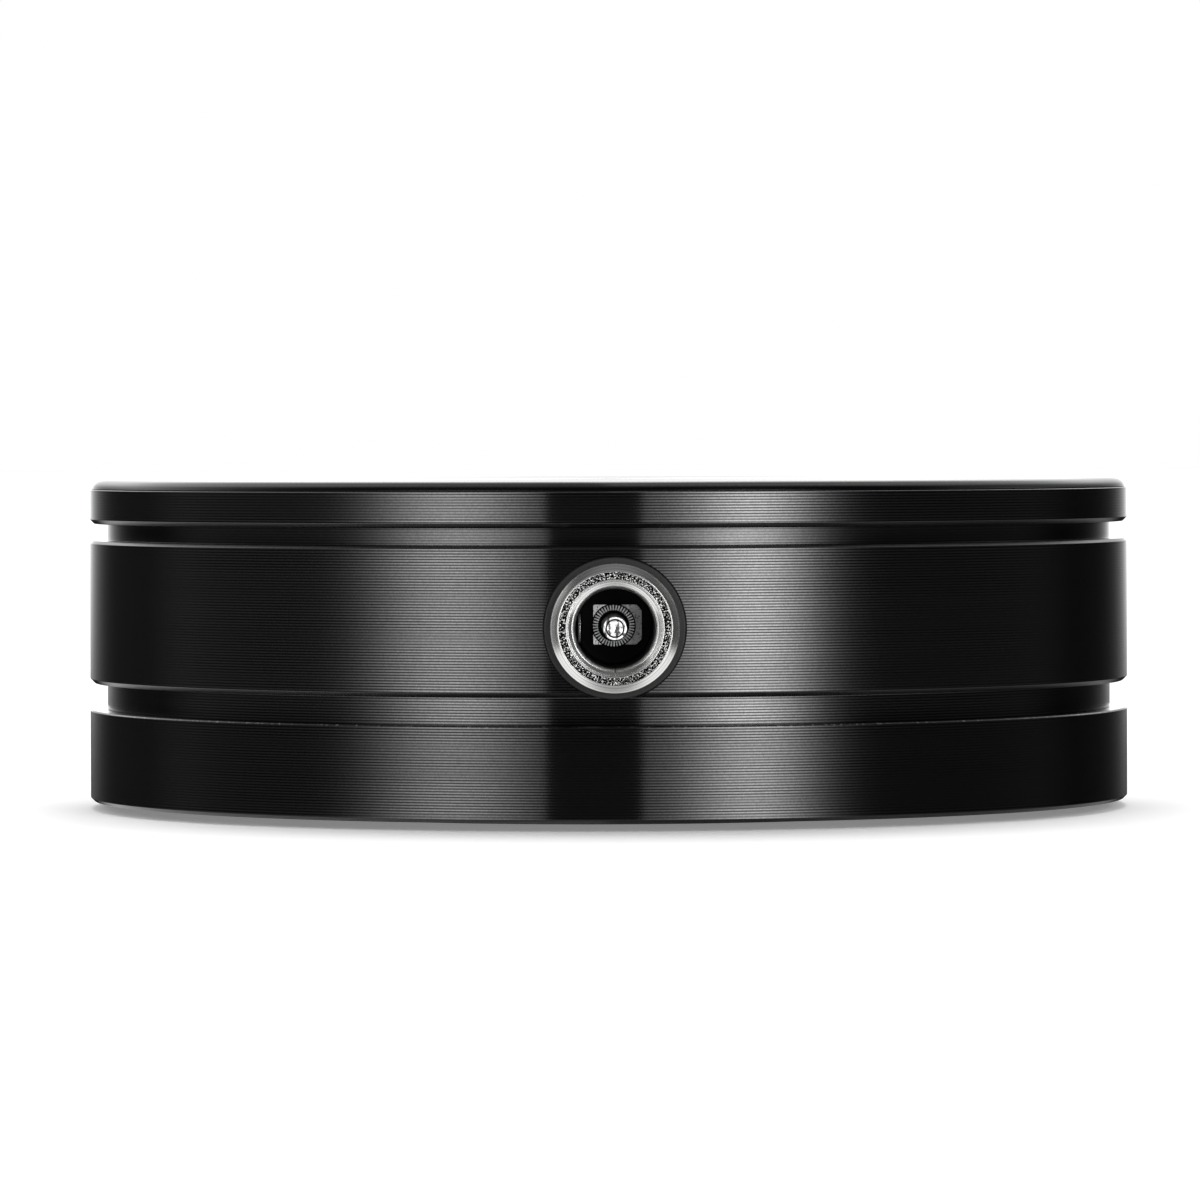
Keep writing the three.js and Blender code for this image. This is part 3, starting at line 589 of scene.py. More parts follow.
class Surface:
    """A material built round one Principled shader."""

    def __init__(self, name, colour, roughness, metallic=0.0):
        self.material = bpy.data.materials.new(name)
        self.material.use_nodes = True
        self.tree = self.material.node_tree
        self.shader = self.tree.nodes["Principled BSDF"]
        self.shader.inputs["Base Color"].default_value = (*colour, 1)
        self.shader.inputs["Roughness"].default_value = roughness
        self.shader.inputs["Metallic"].default_value = metallic
        self.bumps = None

    def place(self):
        """X, Y and Z in millimetres, in the frame's axes."""
        node = self.tree.nodes.new("ShaderNodeTexCoord")
        return [axis / MM for axis in split(self.tree, node.outputs["Object"])]

    def join(self, x, y, z):
        node = self.tree.nodes.new("ShaderNodeCombineXYZ")
        for value, slot in zip((x, y, z), node.inputs):
            if isinstance(value, Field):
                self.tree.links.new(value.socket, slot)
            else:
                slot.default_value = value
        return node.outputs[0]

    def noise(self, where, scale=1.0, detail=2.0, roughness=0.5):
        node = self.tree.nodes.new("ShaderNodeTexNoise")
        node.inputs["Scale"].default_value = scale
        node.inputs["Detail"].default_value = detail
        node.inputs["Roughness"].default_value = roughness
        self.tree.links.new(where, node.inputs["Vector"])
        return Field(self.tree, node.outputs["Fac"])

    def grain(self, scale, detail=2.0, roughness=0.5):
        """Noise that looks the same in every direction."""
        return self.noise(self.join(*self.place()), scale, detail, roughness)

    def tint(self, amount, dark, light):
        """Colour that goes from dark to light as the amount goes from 0 to 1."""
        node = self.tree.nodes.new("ShaderNodeMix")
        node.data_type = "RGBA"
        node.inputs["A"].default_value = (*dark, 1)
        node.inputs["B"].default_value = (*light, 1)
        node.clamp_factor = False
        self.tree.links.new(amount.socket, node.inputs["Factor"])
        self.tree.links.new(node.outputs["Result"], self.shader.inputs["Base Color"])

    def rough(self, amount):
        self.tree.links.new(amount.socket, self.shader.inputs["Roughness"])

    def bump(self, height, depth):
        """Relief: height goes from 0 to 1 and depth is in millimetres."""
        node = self.tree.nodes.new("ShaderNodeBump")
        node.inputs["Distance"].default_value = depth * MM
        self.tree.links.new(height.socket, node.inputs["Height"])
        if self.bumps:
            self.tree.links.new(self.bumps, node.inputs["Normal"])
        self.bumps = node.outputs["Normal"]
        self.tree.links.new(self.bumps, self.shader.inputs["Normal"])

    def brushed(self, axis, amount):
        """Stretches highlights across tool marks that run round an axis."""
        node = self.tree.nodes.new("ShaderNodeTangent")
        node.direction_type = "RADIAL"
        node.axis = axis
        self.shader.inputs["Anisotropic"].default_value = amount
        self.shader.inputs["Anisotropic Rotation"].default_value = 0.25
        self.tree.links.new(node.outputs[0], self.shader.inputs["Tangent"])


def paint(piece, *surfaces):
    piece.data.materials.clear()
    for surface in surfaces:
        piece.data.materials.append(surface.material)


def dress(surface, *nodes):
    """Gives a finish to CAD pieces that are kept as they are."""
    for node in nodes:
        paint(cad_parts[node], surface)


def repaint(piece, index, test):
    """Gives the faces that pass a test, of their middle and normal, another of the finishes."""
    for face in piece.data.polygons:
        if test(face.center / MM, face.normal):
            face.material_index = index


FEED = 0.23  # spacing of the turning marks
# The colour runs between these two tones: the lighter turning lines are painted highlight and the darker
# ones painted shade.
ANODISED_DARK = (0.002, 0.002, 0.002)
ANODISED_LIGHT = (0.108, 0.108, 0.109)


def tool_mark_shading(surface, along):
    """Fine turning marks drawn as painted light and shade, 0 to 1: lit and shaded lines of a steady feed
    that wanders in depth, with odd deeper lines. They give colour only, no relief.
    """
    x, y, _ = surface.place()
    steady = (along * (TURN / FEED)).maths("SINE")
    lines = surface.noise(surface.join(0.0, 0.0, along), 1.7 / FEED, 2.0, 0.6) - 0.5
    patches = surface.noise(surface.join(x * 0.03, y * 0.03, along * 0.5), 1.0, 2.0) - 0.5
    depth = surface.noise(surface.join(x * 0.02, y * 0.02, along * 0.9), 1.0, 1.0).step(0.3, 0.55)
    ridge_shading = steady.step(-0.45, 0.45) - 0.5
    return ridge_shading * (depth * 0.45 + 0.5) + lines * 0.45 + patches * 0.2 + 0.45


def anodised(name, marks=0.65, roughness=0.165, axis="Z", shade=1.0, glint_edge=None, relief=0.0007):
    """Black anodised aluminium, turned about the case's axis ("Z") or the knob's ("Y").

    The edge height, if given, gets painted glints: bright spots of painted highlight and a thin painted
    highlight line along that edge.
    """
    surface = Surface(name, (0.05, 0.05, 0.051), roughness, 1.0)
    x, y, z = surface.place()
    if axis == "Z":
        along = z + (x * x + y * y).maths("SQRT")
    else:
        high = z - AXIS_Z
        along = y + (x * x + high * high).maths("SQRT")
    grain = surface.grain(5.5, 2.0, 0.7) - 0.5
    # Painted light and shade: the turning marks are lit and shaded lines in the colour, standing in for how
    # light falls on the ridges.
    amount = (tool_mark_shading(surface, along) - 0.45) * marks + 0.45
    amount = amount.clamp() * (grain * 0.9 + 1.0)
    if glint_edge:
        # Painted highlight: glints in spots and a thin bright line along the edge's bevel, added to the
        # colour.
        glint_spots = surface.noise(surface.join(x, y, 0.0), 2.2, 3.0, 0.7).step(0.52, 0.68)
        amount = amount + z.bell(glint_edge, 0.07) * glint_spots * 2.6
        amount = amount + z.bell(glint_edge, 0.05) * 0.35
    surface.tint(amount, ANODISED_DARK, tuple(c * shade for c in ANODISED_LIGHT))
    if relief:
        surface.bump(surface.grain(11.0), relief)
    surface.brushed(axis, 1.0)
    return surface


def lid_face():
    """The lid's flat top, finer turned than the walls and duller at a middling angle."""
    surface = anodised("black_anodised_face", 0.35, 0.07, relief=0)
    surface.shader.inputs["Metallic"].default_value = 0.85
    surface.shader.inputs["Specular IOR Level"].default_value = 0
    surface.shader.inputs["Specular Tint"].default_value = (0.22, 0.22, 0.22, 1)
    return surface


def plated(name, roughness=0.2, rings=0.0):
    """Satin nickel plating, with turning marks round the inlet's axis painted as lit and shaded lines in the
    colour; rings is their strength.
    """
    surface = Surface(name, (0.74, 0.74, 0.73), roughness, 1.0)
    fine = surface.grain(9.0, 3.0)
    surface.bump(fine, 0.004)
    if rings:
        x, _, z = surface.place()
        high = z - AXIS_Z
        out = (x * x + high * high).maths("SQRT")
        # Painted light and shade: the turning rings are light and dark colour, not relief.
        lines = surface.noise(surface.join(0.0, out, 0.0), 9.0, 2.0, 0.6).step(0.3, 0.62)
        surface.tint(lines * rings + (1 - rings), (0.1, 0.1, 0.1), (0.72, 0.72, 0.71))
    surface.rough(fine * 0.16 + (roughness - 0.08))
    return surface


def blasted(name):
    """Nickel plating over a coarsely blasted face."""
    surface = Surface(name, (0.5, 0.5, 0.5), 0.3, 1.0)
    grit = surface.grain(8.5, 2.0, 0.8)
    surface.bump(grit, 0.14)
    surface.tint(grit.step(0.55, 0.61), (0.004, 0.004, 0.004), (0.88, 0.88, 0.87))
    return surface


def cast_plate():
    """Rough cast metal, pitted, and darker towards +X."""
    surface = Surface("cast_plate", (0.5, 0.5, 0.5), 0.33, 1.0)
    x = surface.place()[0]
    grit = surface.grain(6.0, 3.0, 0.75)
    surface.bump(grit, 0.04)
    side = x.step(2.2, -1.0) * 0.4 + 0.6
    surface.tint(grit.step(0.3, 0.5) * side, (0.02, 0.02, 0.02), (1.0, 1.0, 0.99))
    return surface


def pin_end():
    """Nickel plating that plugs have scratched."""
    surface = Surface("pin_nickel", (0.74, 0.74, 0.73), 0.42, 1.0)
    x, y, z = surface.place()
    blots = surface.noise(surface.join(x * 1.6, y, z), 1.7, 3.0, 0.6)
    surface.bump(blots, 0.05)
    surface.tint(blots.step(0.42, 0.5), (0.08, 0.08, 0.08), (0.85, 0.85, 0.84))
    return surface


def plastic(name, colour, roughness=0.45, grain=0.004):
    surface = Surface(name, colour, roughness)
    pebble = surface.grain(6.0, 3.0)
    surface.bump(pebble, grain)
    light = tuple(min(1, c * 1.5 + 0.004) for c in colour)
    surface.tint(pebble, colour, light)
    surface.rough(pebble * 0.2 + (roughness - 0.1))
    return surface


def worn_metal(name, colour, roughness):
    """Plain metal with faint stains and scratches."""
    surface = Surface(name, colour, roughness, 1.0)
    x, y, z = surface.place()
    stain = surface.grain(0.6, 4.0)
    fine = surface.noise(surface.join(x * 0.3, y * 0.3, z * 4.0), 8.0, 2.0)
    surface.tint(stain, tuple(c * 0.75 for c in colour), colour)
    surface.rough(fine * 0.2 + (roughness - 0.1))
    surface.bump(fine, 0.003)
    return surface


# ---- case


def top_cover():
    shoulder = 0.06  # the rounding tool leaves this small step where it meets the wall
    foot = TOP_ROUND - 0.72  # height of the rounded edge's start above its centre
    first = math.asin(foot / TOP_ROUND)
    steps = 12
    edge = []
    for i in range(steps + 1):
        tilt = first + (math.pi / 2 - first) * i / steps
        out = BODY_R - shoulder - TOP_ROUND * (1 - math.cos(tilt))
        edge.append((out, TOP - TOP_ROUND * (1 - math.sin(tilt))))
    lid = lathe("top_cover", [
        (0, PLATE_LOW), (WELL_R, PLATE_LOW, 0.4), (WELL_R, LID_SPIGOT_LOW, 0.2),
        (LID_SPIGOT_R, LID_SPIGOT_LOW, 0.25), (LID_SPIGOT_R, LID_LOW),
        (BODY_R - EDGE, LID_LOW, 0.03), (BODY_R, LID_LOW + EDGE, 0.03),
        (BODY_R, edge[0][1] - 0.14), (BODY_R - 0.03, edge[0][1] - 0.11),
        (edge[0][0] - 0.05, edge[0][1] - 0.06), *edge, (0, TOP),
    ], 10, SIDES)
    bores = at_each_lug(lambda: rod("bore", SCREW_R + 0.1, LID_SPIGOT_LOW - 1, SCREW_TOP + 0.4, SMALL))
    cut(lid, *bores)
    true_wall(lid)
    return lid


def body_ring():
    low_spigot_r = CUP_R - 0.3
    lid_gap = LID_LOW - GAP
    ring = lathe("body_ring", [
        (BORE_R, SPIGOT_LOW, 0.2), (low_spigot_r, SPIGOT_LOW, 0.2), (low_spigot_r, BASE_HIGH + GAP),
        (NECK_R, BASE_HIGH + GAP), (NECK_R, BAND_LOW, 0.08),
        (BODY_R - EDGE, BAND_LOW, 0.04), (BODY_R, BAND_LOW + EDGE, 0.05),
        (BODY_R, BAND_HIGH - FINE_EDGE, 0.04), (BODY_R - FINE_EDGE, BAND_HIGH, 0.04),
        (NECK_R, BAND_HIGH, 0.08), (NECK_R, lid_gap), (BORE_R, lid_gap),
    ], 5, SIDES)
    lug_top = LID_SPIGOT_LOW - GAP
    join(ring, *at_each_lug(lambda: rod("lug", LUG_R, FLOOR_TOP + GAP, lug_top, SMALL)))
    inside = BORE_R - 4
    outside = BODY_R + 3
    holes = at_each_lug(lambda: rod("hole", SCREW_R + 0.3, 0, TOP, SMALL))
    for way, radius, low, high in (
        (OUT_OF_BACK, SEAT_R, SEAT, outside),
        (OUT_OF_FRONT, SEAT_R, SEAT, outside),
        (OUT_OF_BACK, JACK["thread_r"] + 0.15, inside, outside),
        (OUT_OF_BACK, 6.5, inside, JACK["inner_seat"]),
        (OUT_OF_FRONT, POT["bush_r"] + 0.15, inside, outside),
    ):
        holes.append(moved(rod("hole", radius, low, high), way))
    holes.append(moved(rod("lamp_hole", LAMP["r"] + 0.1, inside, outside, SMALL), LAMP_PLACE))
    cut(ring, *holes)
    true_wall(ring)
    return ring


def base_cover():
    recess_r = PAD_R + 0.15
    recess_top = PAD_HIGH + GAP
    cup = lathe("base_cover", [
        (0, recess_top), (recess_r, recess_top, 0.1), (recess_r, BASE_LOW, 0.08),
        (BODY_R - 0.3, BASE_LOW, 0.06), (BODY_R, BASE_LOW + 0.3, 0.06),
        (BODY_R, BASE_HIGH - 0.12, 0.03), (BODY_R - 0.12, BASE_HIGH, 0.03), (NECK_R, BASE_HIGH),
        (CUP_R, BASE_HIGH, 0.1), (CUP_R, FLOOR_TOP, 0.5), (0, FLOOR_TOP),
    ], 5, SIDES)
    sink = [(0, 0), (3.75, 0), (3.45, BASE_LOW), (3.0, BASE_LOW + 0.05), (1.7, 2.0), (1.7, 4), (0, 4)]
    cut(cup, *at_each_lug(lambda: turned("countersink", sink, SMALL)))
    true_wall(cup)
    return cup


def foot_pad():
    return lathe("foot_pad", [
        (0, 0), (PAD_R - 0.2, 0, 0.3), (PAD_R, 0.4, 0.25), (PAD_R, PAD_HIGH, 0.1), (0, PAD_HIGH),
    ], 5, SIDES)


def case_screw():
    profile = rounded([
        (0, 0.75), (2.85, 0.75, 0.08), (2.8, 0.95, 0.05), (SCREW_R, 2.15, 0.1),
        (SCREW_R, SCREW_TOP - 0.4), (SCREW_R - 0.4, SCREW_TOP), (0, SCREW_TOP),
    ], 4)
    screw = turned("case_screw", profile, SMALL)
    return cut(screw, raised("socket", hexagon(2), 0, 1.9))


def under_ring(middle, normal):
    """On the base's top, where the ring covers it."""
    return normal.z > 0.99 and math.hypot(middle.x, middle.y) < NECK_R


def add_case():
    surface = anodised("black_anodised_wall")
    lid = place(top_cover(), "housing", "black_anodised", surface, "top_cover")
    paint(lid, surface, lid_face())
    repaint(lid, 1, lambda middle, normal: normal.z > 0.995 and middle.z > TOP - 0.2)
    ring = place(body_ring(), "housing", "black_anodised", surface, "body_ring")
    paint(ring, surface, anodised("black_anodised_groove", 0.3))
    repaint(ring, 1, lambda middle, normal: middle.z > BAND_HIGH + 0.1)
    # The base's top edge gets painted glints along its bevel.
    darker = anodised("black_anodised_base", shade=0.72, glint_edge=BASE_HIGH - 0.05)
    cup = place(base_cover(), "housing", "black_anodised", darker, "base_cover")
    paint(cup, darker, surface)
    repaint(cup, 1, under_ring)
    rubber = plastic("pad_rubber", (0.02, 0.02, 0.02), 0.75, 0.02)
    place(foot_pad(), "housing", "black_rubber", rubber, "foot_pad")
    black_steel = worn_metal("black_oxide", (0.05, 0.05, 0.052), 0.38)
    for i, screw in enumerate(at_each_lug(case_screw)):
        screw.name = f"case_screw_fine_{i + 1}"
        place(screw, "housing", "black_screw", black_steel, f"case_screw_{i + 1}")


# ---- power inlet


def jack_barrel():
    face = JACK["face"]
    rim = JACK["flange_r"] - 0.64
    lip = JACK["liner_r"] + 0.7
    barrel = lathe("jack_barrel", [
        (JACK["bore_r"], JACK["sleeve_back"]), (JACK["thread_r"], JACK["sleeve_back"], 0.1),
        (JACK["thread_r"], JACK["flange_back"] + GAP), (JACK["flange_r"], JACK["flange_back"] + GAP, 0.06),
        (JACK["flange_r"], face - 0.34, 0.06), (rim + 0.1, face - 0.05), (rim + 0.05, face, 0.05),
        (rim - 0.03, face, 0.04), (rim - 0.06, face - 0.1), (lip + 0.12, face - 0.1),
        (lip + 0.09, face, 0.04), (lip + 0.01, face, 0.05),
        (lip - 0.05, face - 0.12, 0.03), (lip - 0.12, face - 0.12, 0.02),
        (lip - 0.4, face - 0.3, 0.05), (lip - 0.46, face - 0.3, 0.02),
        (JACK["liner_r"] + 0.06, face - 0.55, 0.06), (JACK["liner_r"], face - 0.65, 0.04),
        (JACK["liner_r"], face - 0.67), (JACK["bore_r"], face - 0.67),
    ], 5, LARGE)
    return cut(barrel, block("seam", (-0.035, 0.035), (-4.2, -3.0), (face - 0.9, face + 0.1)))


def jack_washer():
    r = JACK["washer_r"]
    inner = JACK["thread_r"] + 0.1
    low = SEAT + GAP
    high = JACK["flange_back"]
    return lathe("jack_washer", [(inner, low), (r, low, 0.08), (r, high, 0.16), (inner, high)], 6, LARGE)


def jack_insulator():
    inner = JACK["pin_r"] + 0.05
    outer = JACK["bore_r"] - GAP
    back = 31
    back_r = 4.2
    step = JACK["sleeve_back"] - GAP
    cup = lathe("jack_insulator", [
        (inner, back), (back_r, back, 0.2), (back_r, step), (outer, step),
        (outer, JACK["liner_end"]), (JACK["liner_r"], JACK["liner_end"]),
        (JACK["liner_r"], JACK["cavity_floor"], 0.3), (inner, JACK["cavity_floor"]),
    ])
    return cut(cup, block("contact_slot", (-2.9, -2.62), (-1.2, 1.2), (30, 38)))


def jack_pin():
    tip = JACK["pin_tip"]
    r = JACK["pin_r"]
    return lathe("jack_pin", [
        (0, 28), (0.8, 28, 0.1), (0.8, 30.9), (r, 30.9), (r, tip - 0.22, 0.06), (r - 0.06, tip - 0.06, 0.05),
        (0.77, tip - 0.06, 0.02), (0.75, tip - 0.3), (0.68, tip - 0.3), (0.66, tip - 0.04, 0.05),
        (0.55, tip, 0.1), (0, tip),
    ], 4, SMALL)


def jack_pin_base():
    low = JACK["cavity_floor"] + GAP
    cut_corner = 0.45
    corners = rounded([
        (-1.67, -1.55, 0.12), (2.3 - cut_corner, -1.55, 0.1), (2.3, -1.55 + cut_corner, 0.1),
        (2.3, 1.72 - cut_corner, 0.1), (2.3 - cut_corner, 1.72, 0.1), (-1.67, 1.72, 0.12),
    ], 3)
    plate = raised("jack_pin_base_fine", corners, low, low + 0.25)
    collar_top = low + 0.6
    hole_r = JACK["pin_r"] + 0.02
    teeth = 42
    steps = 8  # round one tooth
    slot = 3  # of those steps

    def serrated(r, z, angle):
        step = round(angle / TURN * teeth * steps) % steps
        return (r, z - 0.3) if step < slot and z > collar_top - 0.1 and r > 1.4 else (r, z)

    profile = [
        (hole_r, low + 0.1), (1.72, low + 0.1), (1.72, collar_top - 0.06), (1.68, collar_top),
        (1.42, collar_top), (1.28, collar_top), (1.26, collar_top - 0.25), (1.17, collar_top - 0.25),
        (1.15, collar_top - 0.08), (1.06, collar_top - 0.08), (1.04, collar_top - 0.28),
        (hole_r, collar_top - 0.28),
    ]
    collar = turned("collar", profile, teeth * steps, serrated)
    moat = turned("moat", [(1.66, low + 0.12), (1.81, low + 0.12), (1.81, low + 1), (1.66, low + 1)])
    cut(plate, moat)
    join(plate, collar)
    return cut(plate, rod("pin_hole", hole_r, 30, low + 0.3, SMALL))


def jack_contact():
    thick = 0.17
    outer = [(-2.85, 27.5), (-2.85, 38, 1), (-2.96, 39.4, 1), (-2.96, 45.2)]
    inner = [(x + thick, s, *rest) for x, s, *rest in reversed(outer)]
    inner[0] = (inner[0][0], inner[0][1] + 0.05)  # a slightly slanted end
    leaf = raised("jack_contact_fine", rounded(outer + inner, 8)[::-1], -1.1, 1.1)
    return moved(leaf, spin(math.pi / 2, "X"))


def jack_nut():
    seat = JACK["inner_seat"]
    low = seat - 2.1
    corner = NUT["corner_r"]
    ease = [(0, low), (NUT["face_r"], low), (corner, low + NUT["ease"]), (corner, seat), (0, seat)]
    return nut("jack_nut", low, seat - GAP, ease, rod("bore", JACK["thread_r"] + NUT["play"], 30, 44))


def off_axis(point):
    return math.hypot(point.x, point.z - AXIS_Z)


def on_blasted_ring(middle, normal):
    return abs(-middle.y - (JACK["face"] - 0.1)) < 0.01


# Painted shade: the pin's groove takes the black finish, standing in for the shade inside it.
def in_shaded_pin_groove(middle, normal):
    return 0.67 < off_axis(middle) < 0.77 and -middle.y < JACK["pin_tip"] - 0.1


# Painted shade: the collar's teeth slots, its moat and its inner ring round the pin take the black finish,
# standing in for the shade in these recesses.
def in_shaded_collar_recesses(middle, normal):
    depth = -middle.y - JACK["cavity_floor"] - GAP
    if off_axis(middle) < 1.25:
        return depth > 0.26
    return off_axis(middle) < 1.82 and 0.11 < depth < 0.5 and not 0.2 < depth < 0.26


def add_inlet():
    nickel = plated("satin_nickel", 0.2, 0.35)
    pin_nickel = pin_end()
    black = plastic("socket_black", (0.002, 0.002, 0.002), 0.6)
    black.shader.inputs["Specular IOR Level"].default_value = 0.12
    rubber = plastic("washer_black", (0.004, 0.004, 0.004), 0.5, 0.02)
    rubber.shader.inputs["Specular IOR Level"].default_value = 0.3
    zinc = worn_metal("zinc_plate", (1.0, 1.0, 0.99), 0.33)
    cast = cast_plate()
    for piece, slot, surface, node in (
        (jack_barrel(), "nickel_plate", nickel, "jack_barrel"),
        (jack_washer(), "black_rubber", rubber, "jack_washer"),
        (jack_nut(), "nickel_plate", nickel, "jack_nut"),
        (jack_insulator(), "black_plastic", black, "jack_insulator"),
        (jack_pin(), "nickel_plate", pin_nickel, "jack_pin"),
        (jack_pin_base(), "plain_steel", zinc, "jack_pin_base"),
        (jack_contact(), "nickel_plate", nickel, "jack_contact"),
    ):
        moved(piece, OUT_OF_BACK)
        place(piece, "housing", slot, surface, node)
        if node == "jack_barrel":
            paint(piece, nickel, blasted("blasted_nickel"))
            repaint(piece, 1, on_blasted_ring)
        if node == "jack_pin":
            paint(piece, pin_nickel, black)
            # Painted shade in the pin's groove.
            repaint(piece, 1, in_shaded_pin_groove)
        if node == "jack_pin_base":
            paint(piece, zinc, black, cast)
            repaint(piece, 2, lambda middle, normal: -middle.y < JACK["cavity_floor"] + GAP + 0.26)
            # Painted shade in the collar's recesses.
            repaint(piece, 1, in_shaded_collar_recesses)


# ---- speed control


def knob():
    end = KNOB["end"]
    skirt = KNOB["skirt_end"]
    nut_recess_r = 6.4
    grip_low = skirt + 0.15
    grip_high = end - 1.1

    def fluted(r, z, angle):
        """Cuts the grip's flutes, which fade out where the tool enters and leaves."""
        if r < KNOB["grip_r"] - 1.3 or z < skirt:
            return r, z
        phase = (angle / TURN * KNOB["flutes"]) % 1
        across = abs(phase - KNOB["flute_at"]) / KNOB["flute_half"]
        groove = math.cos(min(1, across) * math.pi / 2) ** 0.8
        run_in = min(1, max(0, (z - grip_low) / 0.5))
        return r - KNOB["flute_depth"] * groove * run_in, z

    profile = rounded([
        (POT["shaft_r"] + 0.04, 48.0), (nut_recess_r, 48.0, 0.15), (nut_recess_r, KNOB["back"], 0.15),
        (KNOB["r"], KNOB["back"], 0.25), (KNOB["r"], skirt, 0.25), (KNOB["grip_r"], skirt + 0.02, 0.05),
        (KNOB["grip_r"], grip_low), (KNOB["grip_r"], grip_low + 0.17), (KNOB["grip_r"], grip_low + 0.34),
        (KNOB["grip_r"], grip_low + 0.5), (KNOB["grip_r"], grip_high, 0.1),
        (KNOB["grip_r"] - 0.9, end - 0.12, 0.1), (5.2, end - 0.12, 0.1), (5.0, end - 0.3, 0.1),
        (0, end - 0.3),
        (0, POT["shaft_end"] + 0.2), (POT["shaft_r"] + 0.04, POT["shaft_end"] + 0.2),
    ], 5)
    shell = turned("knob_fine", profile, KNOB["flutes"] * 20, fluted)
    return cut(
        shell,
        moved(rod("screw_hole", 1.35, 1, KNOB["r"] + 1, SMALL), IN_KNOB_SIDE),
        block("pointer", (-0.4, 0.4), (-KNOB["r"], -2.5), (end - KNOB["pointer_depth"], end + 1)),
    )


def knob_screw():
    screw = rod("knob_screw_fine", 1.3, 1.6, 6.4, SMALL)
    cut(screw, raised("socket", hexagon(1.3), 4.9, 8))
    return moved(screw, IN_KNOB_SIDE)


def pot_nut():
    low = SEAT + GAP + 0.43
    high = SEAT + GAP + 2.4
    corner = NUT["corner_r"]
    ease = [(0, low), (corner, low), (corner, high - NUT["ease"]), (NUT["face_r"], high), (0, high)]
    return nut("pot_nut", low, high, ease, rod("bore", POT["bush_r"] + NUT["play"], 40, 50))


def pot_washer():
    low = SEAT + GAP
    inner = POT["bush_r"] + 0.05
    high = low + 0.4
    return lathe("pot_washer", [(inner, low), (5.5, low, 0.05), (5.5, high, 0.08), (inner, high)], 3)


def status_lamp():
    r = LAMP["r"]
    tip = LAMP["tip"]
    flange = LAMP["flange"]
    lead = LAMP["lead_half"]
    lead_in = 34.4
    steps = 12
    quarter = [math.pi / 2 * i / steps for i in range(steps + 1)]
    dome = [(r * math.cos(t), tip - r + r * math.sin(t)) for t in quarter[:-1]]
    lens = lathe("status_lamp", [
        (0, flange - 1), (r + 0.4, flange - 1, 0.1), (r + 0.4, flange, 0.1), (r, flange), *dome, (0, tip),
    ], 6, SMALL)
    drop = AXIS_Z - BOARD_HIGH - 0.1
    for x in (-0.8, 0.8):
        sides = (x - lead, x + lead)
        join(
            lens,
            block("lead", sides, (-lead, lead), (lead_in, flange - 0.5)),
            block("bent_lead", sides, (-lead, drop), (lead_in, lead_in + 0.5)),
        )
    return moved(lens, LAMP_PLACE)


def on_lamp_lead(middle, normal):
    out = middle.x * math.cos(LAMP["bearing"]) + middle.y * math.sin(LAMP["bearing"])
    return out < LAMP["flange"] - 1.01


def in_pointer(middle, normal):
    """On the floor of the knob's pointer groove."""
    along = middle.y - (KNOB["end"] - KNOB["pointer_depth"])
    return abs(along) < 0.01 and normal.y > 0.9


def add_control():
    metal = anodised("black_anodised_knob", 0.8, 0.25, "Y")
    nickel = plated("nut_nickel", 0.28)
    black_steel = worn_metal("grub_screw_steel", (0.05, 0.05, 0.052), 0.38)
    cap = place(moved(knob(), ON_KNOB), "control_knob", "black_anodised", metal, "knob")
    paint(cap, metal, plastic("pointer_paint", (0.6, 0.6, 0.58), 0.5))
    repaint(cap, 1, in_pointer)
    place(moved(knob_screw(), ON_KNOB), "control_knob", "black_screw", black_steel, "knob_screw")
    red = plastic("lens_red", (0.5, 0.02, 0.015), 0.15, 0.0)
    lamp = place(status_lamp(), "housing", "red_lens", red, "status_lamp")
    paint(lamp, red, worn_metal("lead_tin", (0.7, 0.7, 0.7), 0.3))
    repaint(lamp, 1, on_lamp_lead)
    place(moved(pot_nut(), OUT_OF_FRONT), "housing", "nickel_plate", nickel, "pot_nut")
    place(moved(pot_washer(), OUT_OF_FRONT), "housing", "nickel_plate", nickel, "pot_washer")


# ---- motor and rotor

SHAFT_R = 1.0
BEARING_R = 2.2
MOTOR_SCREW_X = 8.5
POLES = 3
CAN = {"wall": 0.6, "low": 5.6, "top": 16.3, "boss_r": 3.1}
END_CAP = {"slot_x": 8.0, "slot_half": 1.1}
HUB = {"bore_r": 3.53, "pitch_r": 13.0, "pocket_r": 5.05, "floor": 0.8, "access_r": 1.4}
COIL = {
    "near": 3.1,  # from the case's axis, along the arm
    "far": 5.8,
    "middle_z": 12.15,
    "inner": (1.15, 2.3),  # half width and half height of the hole for the arm
    "outer": (2.6, 2.85),
    "inner_power": 8,
    "outer_power": 3.6,
    "rows": 11,  # of wire, side by side along the arm
}
PAN_SCREWS = {  # shank's radius and head's height
    "plate_screw": (1.25, 1.3),
    "motor_screw": (0.85, 1.1),
    "board_screw": (1, 1.2),
}
HUB_MIDDLE = (span("rotor_hub")[0].z + span("rotor_hub")[1].z) / 2
ACROSS_HUB = shift(0, 0, HUB_MIDDLE) @ spin(-math.pi / 2, "X")


def both_sides(x, make):
    """One piece from make() at -x and one at x."""
    return [moved(make(), shift(way * x, 0, 0)) for way in (-1, 1)]


def tube_like(node, inner, ease=0.1):
    """A fine tube in the place of a CAD one that stands on the case's axis."""
    low, high = span(node)
    return lathe(node, [(inner, low.z), (high.x, low.z, ease), (high.x, high.z, ease), (inner, high.z)], 3)


